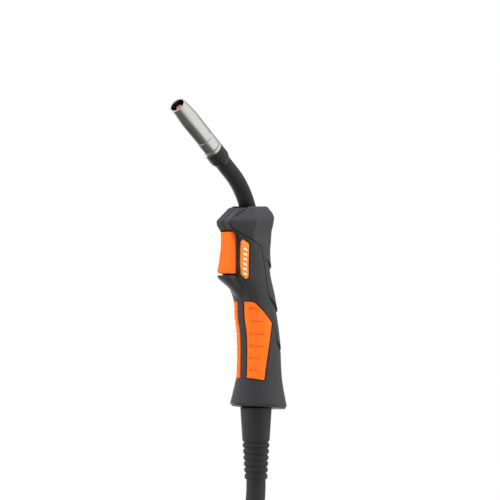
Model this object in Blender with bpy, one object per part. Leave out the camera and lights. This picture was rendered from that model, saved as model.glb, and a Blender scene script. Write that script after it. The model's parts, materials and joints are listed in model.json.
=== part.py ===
"""Gas-cooled MIG welding torch: handle, trigger, swan neck, nozzle, cable and machine connector.

Frame: the origin is the middle of the grip, on the cable's axis. +Z runs up the handle, -X is the
trigger side, and Y = 0 is the torch's plane of symmetry. Lengths below are in millimetres.
"""

import math

import bmesh
import bpy
from mathutils import Matrix, Vector

MM = 0.001
GAP = 0.3  # clearance between neighbouring pieces

# Handle: heights of its main edges
HANDLE_BOTTOM = -61.0
HANDLE_TOP = 114.0
COVER_TOP = 115.3
HEAD_UNDERSIDE = 94.0
SLOT_BOTTOM = 54.9
SKIRT_SLANT = 0.083  # the skirt's lower edge drops by this much per millimetre towards the rear
WALL = 3.8
COVER_WALL = 2.0
INSERT_DEPTH = 1.6
LABEL_DEPTH = 1.0
SEAM = 0.15  # each shell stops this far from the plane of symmetry

# height, front flat, widest point, reach to the front, reach to the rear, half width, exponent
HANDLE_SECTIONS = (
    (-61.0, -60.0, 3.0, 27.0, 27.5, 24.0, 2.0),
    (-45.0, -60.0, 3.4, 23.2, 23.0, 20.3, 2.1),
    (-34.0, -60.0, 4.0, 21.2, 21.0, 18.0, 2.2),
    (-22.0, -60.0, 4.0, 20.6, 20.4, 16.8, 2.3),
    (-8.0, -60.0, 3.4, 19.8, 20.4, 16.3, 2.4),
    (6.0, -60.0, 2.0, 19.4, 20.8, 16.0, 2.4),
    (17.0, -60.0, 0.4, 20.2, 20.8, 15.9, 2.4),
    (31.0, -60.0, -2.0, 18.6, 20.4, 16.0, 2.4),
    (38.0, -60.0, -4.0, 18.6, 20.6, 16.6, 2.4),
    (45.0, -60.0, -6.0, 22.0, 20.6, 17.0, 2.3),
    (54.0, -33.0, -9.0, 27.8, 21.4, 17.4, 2.2),
    (64.0, -33.0, -11.5, 24.7, 23.6, 17.6, 2.1),
    (76.0, -33.0, -14.0, 22.0, 25.6, 17.7, 2.1),
    (93.9, -33.0, -14.0, 22.0, 28.0, 18.0, 2.1),
    (94.1, -60.0, -14.0, 26.4, 28.3, 18.0, 2.1),
    (97.5, -60.0, -14.0, 29.4, 29.2, 18.0, 2.3),
    (103.0, -60.0, -14.0, 30.2, 29.5, 18.0, 2.5),
    (108.8, -60.0, -13.0, 22.6, 27.6, 17.6, 2.3),
    (116.0, -60.0, -10.1, 18.7, 18.1, 14.6, 2.2),
)
SECTION_POINTS = 10  # on each half of a section

# Finger guard under the trigger: height, nose, half width
GUARD_SECTIONS = (
    (33.0, -20.6, 8.5),
    (37.0, -23.5, 8.0),
    (41.0, -28.4, 7.4),
    (45.0, -34.2, 6.8),
    (49.0, -41.0, 7.0),
    (52.2, -45.6, 7.5),
    (54.3, -46.5, 7.6),
    (54.9, -45.9, 7.4),
)
GUARD_BACK = -14.0

# Outlines in side view, as (x, z)
COVER_OUTLINE = (
    (-41.3, 99.2),
    (-40.2, 97.4),
    (-35.0, 94.3),
    (-28.0, 89.3),
    (-14.6, 82.1),
    (-11.8, 79.6),
    (-10.2, 73.1),
    (-7.3, 62.5),
    (-3.5, 45.4),
    (0.2, 35.3),
    (6.2, 20.2),
    (9.0, 5.0),
    (12.0, -9.0),
    (40.0, -20.0),
    (40.0, 130.0),
    (-5.0, 130.0),
    (-21.3, 116.2),
    (-42.0, 102.7),
)
INSERT_OUTLINE = ((-40.0, 31.0), (-16.3, 31.8), (3.6, 13.2), (-7.0, -37.0), (-40.0, -34.0))
LABEL_OUTLINE = (
    (-31.5, 84.6),
    (-30.2, 86.4),
    (-25.8, 82.5),
    (-25.8, 53.2),
    (-27.2, 51.4),
    (-31.5, 55.8),
)
STRIP_HALF_WIDTH = 4.0  # black strip between the two grip inserts

# Trigger
TRIGGER_PIN = (-29.5, 89.0)
TRIGGER_HALF_WIDTH = 6.6
TRIGGER_FRONT_HALF_WIDTH = 5.6
SLOT_HALF_WIDTH = 7.0
PIN_RADIUS = 1.5
PIN_REACH = 9.3  # the pin's ends are held in blind bores in the two shells
SWITCH_FRONT = -27.0
SWITCH_BACK = -17.0
PLUNGER_Z = 65.0
PLUNGER_TIP = -35.8

# Trigger in side view: height, front face, back
TRIGGER_SECTIONS = (
    (56.3, -43.2, -32.0),
    (57.2, -45.0, -32.0),
    (58.2, -45.4, -32.0),
    (61.0, -44.3, -32.0),
    (67.5, -42.3, -32.0),
    (75.0, -40.2, -32.0),
    (80.0, -39.3, -32.0),
    (83.0, -39.3, -32.0),
    (85.6, -39.3, -26.6),
    (93.0, -39.3, -26.6),
)

# Swan neck: it rises at NECK_X, bends by NECK_BEND and ends at the nozzle
NECK_X = -6.0
NECK_BEND = math.radians(50.0)
NECK_BEND_RADIUS = 74.0
NECK_BEND_Z = 87.8
NECK_STRAIGHT = 18.0
NECK_RADIUS = 7.25
CORE_RADIUS = 5.0
LINER_RADIUS = 1.9

# Front end: distances along the nozzle's axis from the neck's end
NOZZLE_RIM = 74.5
NOZZLE_BACK = 28.6
COLLAR_BACK = 17.2
RING_BACK = 14.0

# Cable support: ball, strain relief and cable
BALL_Z = -48.0
BALL_RADIUS = 17.3
MOUTH_RADIUS = 16.2
RELIEF_TOP = -61.0
RELIEF_END = -124.0
CABLE_RADIUS = 8.5
CABLE_START = -104.0
FLOOR_Z = -250.0
COIL_CENTRE = (-76.0, 107.8)
COIL_RADIUS = 99.0
COIL_HALF_WIDTH = 17.5
COIL_HEIGHT = 35.0
ON_COIL_Z = FLOOR_Z + COIL_HEIGHT + CABLE_RADIUS + GAP

# Machine connector, lying on the coil along X
CONNECTOR_BACK = (-96.0, 177.8, FLOOR_Z + COIL_HEIGHT + 22.8)
CONNECTOR_NUT_RADIUS = 22.4

# Screws through the right shell: (x, z); the one at 14 is under the back cover
SCREWS = ((-29.0, 101.5), (-22.5, 45.5), (12.0, 14.0), (12.0, -20.0))
SCREW_SUNK = 6.2  # from the handle's skin to the seat of a screw's head

FINISHES = {
    "handle_plastic": ((0.058, 0.059, 0.061), 0.0, 0.55),
    "orange_rubber": ((1.0, 0.17, 0.018), 0.0, 0.5),
    "orange_plastic": ((1.0, 0.15, 0.014), 0.0, 0.38),
    "neck_coating": ((0.03, 0.03, 0.031), 0.0, 0.5),
    "nozzle_steel": ((0.78, 0.78, 0.77), 1.0, 0.22),
    "copper": ((0.86, 0.42, 0.26), 1.0, 0.3),
    "brass": ((0.78, 0.6, 0.28), 1.0, 0.3),
    "steel": ((0.56, 0.57, 0.58), 1.0, 0.3),
    "black_plastic": ((0.022, 0.022, 0.023), 0.0, 0.45),
    "cable_rubber": ((0.018, 0.018, 0.018), 0.0, 0.6),
    "wire_insulation": ((0.5, 0.04, 0.03), 0.0, 0.45),
}


def clear_scene():
    for old in list(bpy.data.objects):
        bpy.data.objects.remove(old, do_unlink=True)


def finish(obj, name):
    colour, metallic, roughness = FINISHES[name]
    surface = bpy.data.materials.new(f"{obj.name}_{name}")
    surface.use_nodes = True
    shader = surface.node_tree.nodes["Principled BSDF"]
    shader.inputs["Base Color"].default_value = (*colour, 1.0)
    shader.inputs["Metallic"].default_value = metallic
    shader.inputs["Roughness"].default_value = roughness
    surface.diffuse_color = (*colour, 1.0)
    obj.data.materials.clear()
    obj.data.materials.append(surface)
    return obj


def mesh_object(name, points, faces, slot=None):
    """An object of these points, in millimetres, with its faces turned outwards. No slot: a cutter."""
    mesh = bpy.data.meshes.new(name)
    mesh.from_pydata([Vector(p) * MM for p in points], [], faces)
    bm = bmesh.new()
    bm.from_mesh(mesh)
    bmesh.ops.triangulate(bm, faces=bm.faces)
    bmesh.ops.recalc_face_normals(bm, faces=bm.faces)
    bm.to_mesh(mesh)
    bm.free()
    obj = bpy.data.objects.new(name, mesh)
    bpy.context.scene.collection.objects.link(obj)
    if slot:
        finish(obj, slot)
        mesh.shade_smooth()
        mesh.set_sharp_from_angle(angle=math.radians(32))
    else:
        obj.hide_render = True
        obj.display_type = "WIRE"
    return obj


def loft(name, rings, slot=None):
    """A closed solid through rings of equal point counts, with flat ends."""
    size = len(rings[0])
    points = [p for ring in rings for p in ring]
    faces = [list(range(size)), list(range(len(points) - size, len(points)))]
    for row in range(len(rings) - 1):
        for k in range(size):
            a, b = row * size + k, row * size + (k + 1) % size
            faces.append([a, b, b + size, a + size])
    return mesh_object(name, points, faces, slot)


def prism(name, outline, axis, low, high, slot=None):
    """An outline of (x, z) extruded along y, or of (y, z) along x, or of (x, y) along z."""
    place = {
        "x": lambda u, v, w: (w, u, v),
        "y": lambda u, v, w: (u, w, v),
        "z": lambda u, v, w: (u, v, w),
    }[axis]
    return loft(name, [[place(u, v, w) for u, v in outline] for w in (low, high)], slot)


def block(name, low, high, slot=None):
    corners = ((low[0], low[1]), (high[0], low[1]), (high[0], high[1]), (low[0], high[1]))
    return prism(name, corners, "z", low[2], high[2], slot)


def turned(name, profile, base, direction, slot=None, steps=20):
    """A solid of revolution. The profile is a loop of (radius, distance along the axis).

    A cutter is turned by part of a step, so that its corners miss those of what it cuts."""
    axis = Vector(direction).normalized()
    side = axis.orthogonal().normalized()
    across = axis.cross(side)
    points, faces, index = [], [], {}
    for row, (radius, along) in enumerate(profile):
        for k in range(steps if radius > 0 else 1):
            turn = 2 * math.pi * (k + (0.0 if slot else 0.37)) / steps
            spoke = math.cos(turn) * side + math.sin(turn) * across
            index[row, k] = len(points)
            points.append(Vector(base) + along * axis + radius * spoke)
    for row in range(len(profile)):
        below = (row + 1) % len(profile)
        if profile[row][0] <= 0 and profile[below][0] <= 0:
            continue
        for k in range(steps):
            corners = []
            for at, turn in ((row, k), (row, k + 1), (below, k + 1), (below, k)):
                corner = index[at, turn % steps if profile[at][0] > 0 else 0]
                if corner not in corners:
                    corners.append(corner)
            faces.append(corners)
    return mesh_object(name, points, faces, slot)


def boolean(target, cutter, operation="DIFFERENCE"):
    """Applies a Boolean to the target's mesh and removes the cutter."""
    modifier = target.modifiers.new("cut", "BOOLEAN")
    modifier.operation = operation
    modifier.solver = "EXACT"
    modifier.object = cutter
    graph = bpy.context.evaluated_depsgraph_get()
    cut_mesh = bpy.data.meshes.new_from_object(target.evaluated_get(graph))
    target.modifiers.remove(modifier)
    target.data = cut_mesh
    bpy.data.objects.remove(cutter, do_unlink=True)
    return target


def copy_of(source, name):
    twin = source.copy()
    twin.data = source.data.copy()
    twin.name = name
    bpy.context.scene.collection.objects.link(twin)
    return twin


def mirrored(source, name, slot):
    """A copy on the other side of the plane of symmetry."""
    twin = copy_of(source, name)
    twin.data.transform(Matrix.Scale(-1, 4, (0, 1, 0)))
    twin.data.flip_normals()
    return finish(twin, slot)


def tube(name, route, radius, slot, sides=8):
    """A round cord along a smooth curve through the route's points, as a curve object."""
    curve = bpy.data.curves.new(name, "CURVE")
    curve.dimensions = "3D"
    curve.bevel_depth = radius * MM
    curve.bevel_resolution = (sides - 4) // 2
    curve.use_fill_caps = True
    points = smooth(route)
    spline = curve.splines.new("POLY")
    spline.points.add(len(points) - 1)
    for point, place in zip(spline.points, points):
        point.co = (*(Vector(place) * MM), 1.0)
    obj = bpy.data.objects.new(name, curve)
    bpy.context.scene.collection.objects.link(obj)
    return finish(obj, slot)


def smooth(route, between=2):
    """Points along a centripetal Catmull-Rom curve through the route."""
    points = [Vector(place) for place in route]
    points = [2 * points[0] - points[1], *points, 2 * points[-1] - points[-2]]
    found = []
    for four in zip(points, points[1:], points[2:], points[3:]):
        times = [0.0]
        for near, far in zip(four, four[1:]):
            times.append(times[-1] + (far - near).length ** 0.5)
        for k in range(between):
            at = times[1] + (times[2] - times[1]) * k / between
            found.append(between_knots(four, times, at))
    found.append(points[-2])
    return found


def between_knots(four, times, at):
    """A Catmull-Rom curve's point at this time, between the second and the third of four knots."""

    def mixed(near, far, start, end):
        return near + (far - near) * ((at - start) / (end - start))

    first = [mixed(four[i], four[i + 1], times[i], times[i + 1]) for i in range(3)]
    second = [mixed(first[i], first[i + 1], times[i], times[i + 2]) for i in range(2)]
    return mixed(second[0], second[1], times[1], times[2])


def section_at(height):
    """Front flat, widest point, front reach, rear reach, half width and exponent at this height."""
    rows = HANDLE_SECTIONS
    low = max((r for r in rows if r[0] <= height), default=rows[0])
    high = min((r for r in rows if r[0] >= height), default=rows[-1])
    part = (height - low[0]) / (high[0] - low[0]) if high[0] > low[0] else 0.0
    return [a + part * (b - a) for a, b in zip(low[1:], high[1:])]


def side_at(x, height, inset=0.0):
    """The half width of the handle's section at this x."""
    _, widest, front, rear, width, power = section_at(height)
    reach = (front if x < widest else rear) - inset
    return (width - inset) * (1 - (abs(x - widest) / reach) ** power) ** (1 / power)


def handle_ring(height, inset=0.0):
    """The handle's section at this height, moved in by the inset."""
    flat, widest, front, rear, width, power = section_at(height)
    half = []
    for k in range(SECTION_POINTS + 1):
        turn = math.pi * k / SECTION_POINTS
        reach = (front if turn < math.pi / 2 else rear) - inset
        c, s = math.cos(turn), math.sin(turn)
        x = widest - reach * math.copysign(abs(c) ** (2 / power), c)
        y = (width - inset) * s ** (2 / power) if 0 < k < SECTION_POINTS else 0.0
        if x < flat + inset:
            part_way = k / SECTION_POINTS
            full = flat + inset
            edge = (width - inset) * (1 - (abs(full - widest) / reach) ** power) ** (1 / power)
            first = first_free(flat + inset, widest, reach, power)
            x, y = full, edge * min(1.0, part_way * SECTION_POINTS / first)
        half.append((x, y))
    return [(x, y, height) for x, y in half] + [(x, -y, height) for x, y in half[-2:0:-1]]


def first_free(flat, widest, reach, power):
    """How many of a half section's points lie on its front flat, without the middle one."""
    count = 0
    for k in range(1, SECTION_POINTS):
        c = math.cos(math.pi * k / SECTION_POINTS)
        if c <= 0 or widest - reach * c ** (2 / power) >= flat:
            break
        count += 1
    return max(count, 1)


def handle_loft(name, inset=0.0, bottom=HANDLE_BOTTOM, top=HANDLE_TOP):
    heights = [row[0] for row in HANDLE_SECTIONS if bottom < row[0] < top]
    rings = [handle_ring(z, inset) for z in (bottom, *heights, top)]
    if bottom <= HANDLE_BOTTOM:
        rings[0] = [(x, y, z - SKIRT_SLANT * x) for x, y, z in rings[0]]
    return loft(name, rings)


def guard():
    """The finger guard, a tongue that grows out of the handle under the trigger."""
    rings = []
    for height, nose, width in GUARD_SECTIONS:
        arc = []
        for k in range(9):
            turn = math.pi * (k / 8 - 0.5)
            arc.append((nose + width * 0.9 * (1 - math.cos(turn)), width * math.sin(turn), height))
        rings.append([*arc, (GUARD_BACK, width, height), (GUARD_BACK, -width, height)])
    return loft("guard", rings)


def grown(outline, distance):
    """The outline moved outwards by this distance; its points run either way round."""
    area = sum(a[0] * b[1] - b[0] * a[1] for a, b in zip(outline, outline[1:] + outline[:1]))
    way = math.copysign(distance, area)
    moved = []
    for before, at, after in zip(outline[-1:] + outline[:-1], outline, outline[1:] + outline[:1]):
        first = Vector((at[0] - before[0], at[1] - before[1])).normalized()
        second = Vector((after[0] - at[0], after[1] - at[1])).normalized()
        normal = Vector((first.y + second.y, -first.x - second.x))
        normal *= way / max(normal.dot(Vector((first.y, -first.x))), 0.3)
        moved.append((at[0] + normal.x, at[1] + normal.y))
    return tuple(moved)


def skin_region(name, outline, depth, side, inner_edge=0.0, top=HANDLE_TOP):
    """The handle's outer skin inside the outline, this deep, on one side (-1 left, 1 right, 0 both)."""
    low, high = {-1: (-40.0, -inner_edge), 1: (inner_edge, 40.0), 0: (-40.0, 40.0)}[side]
    piece = handle_loft(name, 0.0, HANDLE_BOTTOM, top)
    boolean(piece, prism("region", outline, "y", low, high), "INTERSECT")
    return boolean(piece, handle_loft("inside", depth, HANDLE_BOTTOM - 5, HANDLE_TOP + 8))


def show(obj):
    """Turns a cut piece into a visible one, without the needless points that cutting leaves."""
    obj.hide_render = False
    obj.display_type = "TEXTURED"
    bm = bmesh.new()
    bm.from_mesh(obj.data)
    flat = math.radians(0.8)
    bmesh.ops.dissolve_limit(bm, angle_limit=flat, verts=bm.verts, edges=bm.edges)
    bmesh.ops.triangulate(bm, faces=bm.faces)
    bm.to_mesh(obj.data)
    bm.free()
    obj.data.shade_smooth()
    obj.data.set_sharp_from_angle(angle=math.radians(32))
    return obj


def recess(name, outline, depth, inner_edge=0.0, clearance=0.45):
    """A cutter for the bed under a piece that is let into the left side of the skin."""
    cutter = prism(name, grown(outline, clearance), "y", -45.0, -inner_edge)
    return boolean(cutter, handle_loft("bed", depth + GAP, HANDLE_BOTTOM - 5, HANDLE_TOP + 8))


def left_half_shell():
    """The left shell before its screw bosses, hollow, with the beds of all that is let into it."""
    shell = handle_loft("handle_shell_left")
    boolean(shell, guard(), "UNION")
    boolean(shell, block("left_side", (-60, -40, -80), (60, -SEAM, 130)), "INTERSECT")
    boolean(shell, handle_loft("hollow", WALL, -26.0, 108.0))
    boolean(shell, prism("slot", slot_outline(), "y", -SLOT_HALF_WIDTH, 5))
    boolean(shell, recess("cover_bed", COVER_OUTLINE, COVER_WALL))
    boolean(shell, recess("insert_bed", INSERT_OUTLINE, INSERT_DEPTH, STRIP_HALF_WIDTH - 0.5))
    boolean(shell, recess("label_bed", LABEL_OUTLINE, LABEL_DEPTH))
    for x, z in SCREWS:
        boolean(shell, boss(x, z), "UNION")
    neck = neck_pipe("neck_hole", 60.0, 150.0, NECK_RADIUS + GAP, 0.0)
    boolean(shell, neck)
    pin_bore = ((0, -PIN_REACH - GAP), (PIN_RADIUS + GAP, -PIN_REACH - GAP), (PIN_RADIUS + GAP, 0), (0, 0))
    boolean(shell, turned("pin_bore", pin_bore, (TRIGGER_PIN[0], 0, TRIGGER_PIN[1]), (0, 1, 0), None, 12))
    boolean(shell, ball_pocket())
    return shell


def slot_outline():
    return ((-60, SLOT_BOTTOM), (-24, SLOT_BOTTOM), (-24, HEAD_UNDERSIDE), (-60, HEAD_UNDERSIDE))


def boss(x, z):
    """A screw boss, from the seam to the shell's wall."""
    depth = side_at(x, z, WALL + 1.4)
    start = SEAM + GAP
    profile = ((0, start), (4.0, start), (4.0, depth), (0, depth))
    return turned("boss", profile, (x, 0, z), (0, -1, 0), None, 8)


def ball_pocket():
    """The hollow that holds the ball, open to the hollow above it and to the skirt's mouth."""
    radius = BALL_RADIUS + GAP
    arc = []
    top, bottom = math.radians(50), math.asin(-(math.sqrt(radius**2 - MOUTH_RADIUS**2)) / radius)
    for k in range(7):
        turn = top + (bottom - top) * k / 6
        arc.append((radius * math.cos(turn), BALL_Z + radius * math.sin(turn)))
    profile = [(0, -24.0), (arc[0][0], -24.0), *arc, (MOUTH_RADIUS, -70.0), (0, -70.0)]
    return turned("pocket", profile, (0, 0, 0), (0, 0, 1), None, 24)


def shells():
    left = left_half_shell()
    right = mirrored(left, "handle_shell_right", "handle_plastic")
    for x, z in SCREWS:
        pilot = ((0, -1), (1.5, -1), (1.5, 8.0), (0, 8.0))
        boolean(left, turned("pilot", pilot, (x, 0, z), (0, -1, 0), None, 6))
        seat = side_at(x, z) - SCREW_SUNK
        hole = ((0, -1), (1.8, -1), (1.8, seat), (3.1, seat), (3.1, 30), (0, 30))
        boolean(right, turned("hole", hole, (x, 0, z), (0, 1, 0), None, 10))
    finish(show(left), "handle_plastic")
    finish(show(right), "handle_plastic")


def screws():
    for number, (x, z) in enumerate(SCREWS, 1):
        seat = side_at(x, z) - SCREW_SUNK
        profile = ((0, -6.5), (1.1, -6.5), (1.2, -5.5), (1.2, 0.6), (1.4, 0.9), (1.4, seat + GAP))
        head = ((2.7, seat + GAP), (2.7, seat + 1.6), (2.2, seat + 2.2), (0, seat + 2.2))
        screw = turned(f"shell_screw_{number}", (*profile, *head), (x, 0, z), (0, 1, 0), "steel", 8)
        for size in ((2.9, 0.6), (0.6, 2.9)):
            low = (x - size[0] / 2, seat + 1.3, z - size[1] / 2)
            high = (x + size[0] / 2, seat + 4.0, z + size[1] / 2)
            boolean(screw, block("cross", low, high))
        finish(screw, "steel")


def cover():
    """The back cover, which wraps the head and runs down the back of the grip."""
    piece = skin_region("back_cover", COVER_OUTLINE, COVER_WALL, 0, 0.0, COVER_TOP)
    clear = SLOT_HALF_WIDTH + GAP
    boolean(piece, prism("slot", slot_outline(), "y", -clear, clear))
    return finish(show(piece), "handle_plastic")


def side_pieces():
    for side, word in ((-1, "left"), (1, "right")):
        name = f"grip_insert_{word}"
        insert = skin_region(name, INSERT_OUTLINE, INSERT_DEPTH, side, STRIP_HALF_WIDTH)
        finish(show(insert), "orange_rubber")
        plate = skin_region(f"label_plate_{word}", LABEL_OUTLINE, LABEL_DEPTH, side)
        finish(show(plate), "orange_plastic")


def trigger():
    """The trigger: a hollow cap with side walls, hung on its pin at the top."""
    rings = []
    for height, front, back in TRIGGER_SECTIONS:
        edge, full = TRIGGER_FRONT_HALF_WIDTH, TRIGGER_HALF_WIDTH
        half = ((front, edge), (front + 4.6, full), (back, full))
        ring = [(x, -y, height) for x, y in half] + [(x, y, height) for x, y in reversed(half)]
        rings.append(ring)
    piece = loft("trigger", rings)
    boolean(piece, block("inside", (-36.2, -5.4, 59.0), (-20.0, 5.4, 84.0)))
    bore = ring_cutter(PIN_RADIUS + 0.12, 10)
    boolean(piece, turned("bore", bore, (TRIGGER_PIN[0], 0, TRIGGER_PIN[1]), (0, 1, 0), None, 16))
    return finish(show(piece), "orange_plastic")


def ring_cutter(radius, reach):
    return ((0, -reach), (radius, -reach), (radius, reach), (0, reach))


def switch():
    """The microswitch behind the trigger, its plunger, terminals, wires and the trigger's spring."""
    body = block("switch_body", (SWITCH_FRONT, -3.2, 61.0), (SWITCH_BACK, 3.2, 80.0))
    bore = ((0, -6.0), (1.45, -6.0), (1.45, 2.0), (0, 2.0))
    boolean(body, turned("bore", bore, (SWITCH_FRONT, 0, PLUNGER_Z), (-1, 0, 0), None, 12))
    finish(show(body), "black_plastic")
    length = SWITCH_FRONT + 3.0 - PLUNGER_TIP
    plunger = ((0, 0), (1.1, 0), (1.1, length - 0.4), (0.7, length), (0, length))
    turned("switch_plunger", plunger, (SWITCH_FRONT + 3.0, 0, PLUNGER_Z), (-1, 0, 0), "black_plastic", 12)
    for number, side in ((1, -1), (2, 1)):
        low = (-19.6, side * 1.9 - 0.35, 54.0)
        block(f"switch_terminal_{number}", low, (-17.2, side * 1.9 + 0.35, 61.0 - GAP), "brass")
        route = (
            (-18.4, side * 1.9, 53.4),
            (-17.6, side * 3.0, 49.0),
            (-14.8, side * 7.6, 42.0),
            (-9.0, side * 10.3, 32.0),
            (-6.0, side * 10.3, 18.0),
            (-4.0, side * 10.0, 4.0),
        )
        tube(f"switch_wire_{number}", route, 0.7, "wire_insulation", 8)
    coil = []
    for k in range(41):
        turn = 2 * math.pi * k / 8
        coil.append((-27.6 - 7.8 * k / 40, 1.9 * math.cos(turn), 75.0 + 1.9 * math.sin(turn)))
    spring = helix("trigger_spring", coil, 0.3)
    finish(spring, "steel")
    pin = ring_cutter(PIN_RADIUS, PIN_REACH)
    turned("trigger_pin", pin, (TRIGGER_PIN[0], 0, TRIGGER_PIN[1]), (0, 1, 0), "steel", 16)


def helix(name, points, radius):
    curve = bpy.data.curves.new(name, "CURVE")
    curve.dimensions = "3D"
    curve.bevel_depth = radius * MM
    curve.bevel_resolution = 0
    curve.use_fill_caps = True
    spline = curve.splines.new("POLY")
    spline.points.add(len(points) - 1)
    for point, place in zip(spline.points, points):
        point.co = (*(Vector(place) * MM), 1.0)
    obj = bpy.data.objects.new(name, curve)
    bpy.context.scene.collection.objects.link(obj)
    return obj


def neck_frame(distance):
    """The neck's centre, direction and in-plane normal at this height or distance along its line."""
    rise = distance - NECK_BEND_Z
    if rise <= 0:
        return Vector((NECK_X, 0, distance)), Vector((0, 0, 1)), Vector((1, 0, 0))
    angle = min(rise / NECK_BEND_RADIUS, NECK_BEND)
    centre = Vector((NECK_X - NECK_BEND_RADIUS, 0, NECK_BEND_Z))
    out = Vector((math.cos(angle), 0, math.sin(angle)))
    along = Vector((-math.sin(angle), 0, math.cos(angle)))
    beyond = max(0.0, rise - NECK_BEND * NECK_BEND_RADIUS)
    return centre + NECK_BEND_RADIUS * out + beyond * along, along, out


NECK_END = NECK_BEND_Z + NECK_BEND * NECK_BEND_RADIUS + NECK_STRAIGHT


def neck_pipe(name, start, end, outer, inner, slot=None, sides=20):
    """A pipe along the neck's line, solid where the inner radius is 0."""
    bend_end = NECK_BEND_Z + NECK_BEND * NECK_BEND_RADIUS
    stops = [start, end]
    if start < bend_end:
        first, last = max(start, NECK_BEND_Z), min(end, bend_end)
        stops += [first + (last - first) * k / 8 for k in range(9)]
    stops = sorted({round(s, 4) for s in stops})
    walls = []
    for radius in (outer, inner) if inner else (outer,):
        rings = []
        for stop in stops:
            centre, _, out = neck_frame(stop)
            turns = [2 * math.pi * k / sides for k in range(sides)]
            spokes = [math.cos(t) * out + math.sin(t) * Vector((0, 1, 0)) for t in turns]
            rings.append([centre + radius * spoke for spoke in spokes])
        walls.append(rings)
    if not inner:
        return loft(name, walls[0], slot)
    points = [p for rings in walls for ring in rings for p in ring]
    rows, faces = len(stops), []
    for wall in range(2):
        for row in range(rows - 1):
            for k in range(sides):
                a = (wall * rows + row) * sides + k
                b = (wall * rows + row) * sides + (k + 1) % sides
                faces.append([a, b, b + sides, a + sides])
    for row in (0, rows - 1):
        for k in range(sides):
            a, b = row * sides + k, row * sides + (k + 1) % sides
            faces.append([a, b, b + rows * sides, a + rows * sides])
    return mesh_object(name, points, faces, slot)


def on_nozzle_axis(name, profile, slot, steps=24):
    base, along, _ = neck_frame(NECK_END)
    return turned(name, profile, base, along, slot, steps)


def neck():
    neck_pipe("neck_tube", 68.0, NECK_END - 0.3, NECK_RADIUS, CORE_RADIUS + GAP, "neck_coating", 14)
    neck_pipe("neck_core", 56.0, NECK_END + 16.0, CORE_RADIUS, 3.4, "brass", 10)
    neck_pipe("wire_liner", 20.0, NECK_END + 5.0, LINER_RADIUS, 0.9, "steel", 6)
    inside = NECK_RADIUS + GAP
    clip = ((inside, -2.0), (8.0, -2.0), (8.0, -0.6), (7.8, -0.3), (inside, -0.3))
    on_nozzle_axis("neck_ferrule", clip, "steel")
    inside = CORE_RADIUS + GAP
    back = RING_BACK - GAP
    collar = ((inside, 0), (8.0, 0), (8.9, 1.8), (8.9, back), (6.1, back), (6.1, 33.0), (inside, 33.0))
    on_nozzle_axis("neck_insulator", collar, "black_plastic")
    coil = []
    base, along, out = neck_frame(NECK_END)
    for k in range(37):
        turn = 2 * math.pi * k / 12
        spoke = math.cos(turn) * out + math.sin(turn) * Vector((0, 1, 0))
        coil.append(base + (21.0 + 9.0 * k / 36) * along + 6.85 * spoke)
    finish(helix("nozzle_spring", coil, 0.4), "steel")


def front_end():
    """Tip holder with its gas holes, contact tip and the three rings of the gas nozzle."""
    holder = ((1.1, 6.0), (3.1, 6.0), (3.1, 16.3), (4.9, 16.3), (4.9, 33.5), (5.6, 34.0))
    holder += ((5.6, 41.0), (4.6, 42.0), (4.6, 46.0), (3.3, 46.0), (3.3, 38.0), (1.1, 38.0))
    piece = on_nozzle_axis("tip_holder", holder, None, 12)
    base, along, out = neck_frame(NECK_END)
    for k in range(4):
        turn = math.pi * (k / 2 + 0.25)
        spoke = math.cos(turn) * out + math.sin(turn) * Vector((0, 1, 0))
        hole = ((0, 2.0), (0.9, 2.0), (0.9, 9.0), (0, 9.0))
        boolean(piece, turned("gas_hole", hole, base + 36.5 * along, spoke, None, 6))
    finish(show(piece), "brass")
    tip = ((0.6, 40.0), (3.0, 40.0), (3.0, 46.3), (4.0, 46.3), (4.0, 62.0))
    tip += ((3.0, 69.6), (2.6, 70.4), (0.6, 70.4))
    on_nozzle_axis("contact_tip", tip, "copper", 16)
    back = NOZZLE_BACK + GAP
    nozzle = ((7.7, back), (9.0, back), (9.05, 57.3), (7.6, NOZZLE_RIM - 0.5), (7.2, NOZZLE_RIM))
    nozzle += ((6.5, NOZZLE_RIM), (6.3, NOZZLE_RIM - 0.6), (7.7, 57.0))
    on_nozzle_axis("gas_nozzle", nozzle, "nozzle_steel")
    collar = ((7.7, COLLAR_BACK + GAP), (8.7, COLLAR_BACK + GAP), (8.95, COLLAR_BACK + 0.8))
    collar += ((8.95, NOZZLE_BACK - 0.6), (8.6, NOZZLE_BACK), (7.7, NOZZLE_BACK))
    on_nozzle_axis("nozzle_collar", collar, "nozzle_steel")
    ring = ((7.7, RING_BACK), (9.0, RING_BACK), (9.2, RING_BACK + 0.3), (9.2, COLLAR_BACK - 0.4))
    ring += ((9.0, COLLAR_BACK), (7.7, COLLAR_BACK))
    on_nozzle_axis("nozzle_end_ring", ring, "nozzle_steel")


def power_joint():
    """Where the neck meets the cable inside the grip: threaded block, nut, crimped ferrule and cable."""
    stud = ((2.3, 43.0), (5.6, 43.0), (5.6, 48.0), (8.6, 48.0), (8.6, 66.0))
    socket = ((5.3, 66.0), (5.3, 55.7), (2.3, 55.7))
    turned("neck_block", (*stud, *socket), (NECK_X, 0, 0), (0, 0, 1), "brass", 20)
    hexagon = ((6.9, 30.0), (9.2, 30.0), (9.2, 47.7), (6.9, 47.7))
    turned("cable_nut", hexagon, (NECK_X, 0, 0), (0, 0, 1), "brass", 6)
    ferrule = ((2.3, 12.0), (6.6, 12.0), (6.6, 28.0), (5.2, 29.7), (5.2, 42.7), (2.3, 42.7))
    turned("cable_ferrule", ferrule, (NECK_X, 0, 0), (0, 0, 1), "copper", 20)
    route = (
        (-6.0, 0, 11.4),
        (-5.8, 0, 9.0),
        (-4.4, 0, 1.0),
        (-2.2, 0, -8.0),
        (-0.9, 0, -20.0),
        (-0.2, 0, -34.0),
        (0, 0, -47.5),
    )
    tube("cable_in_grip", route, 7.6, "cable_rubber")


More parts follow.
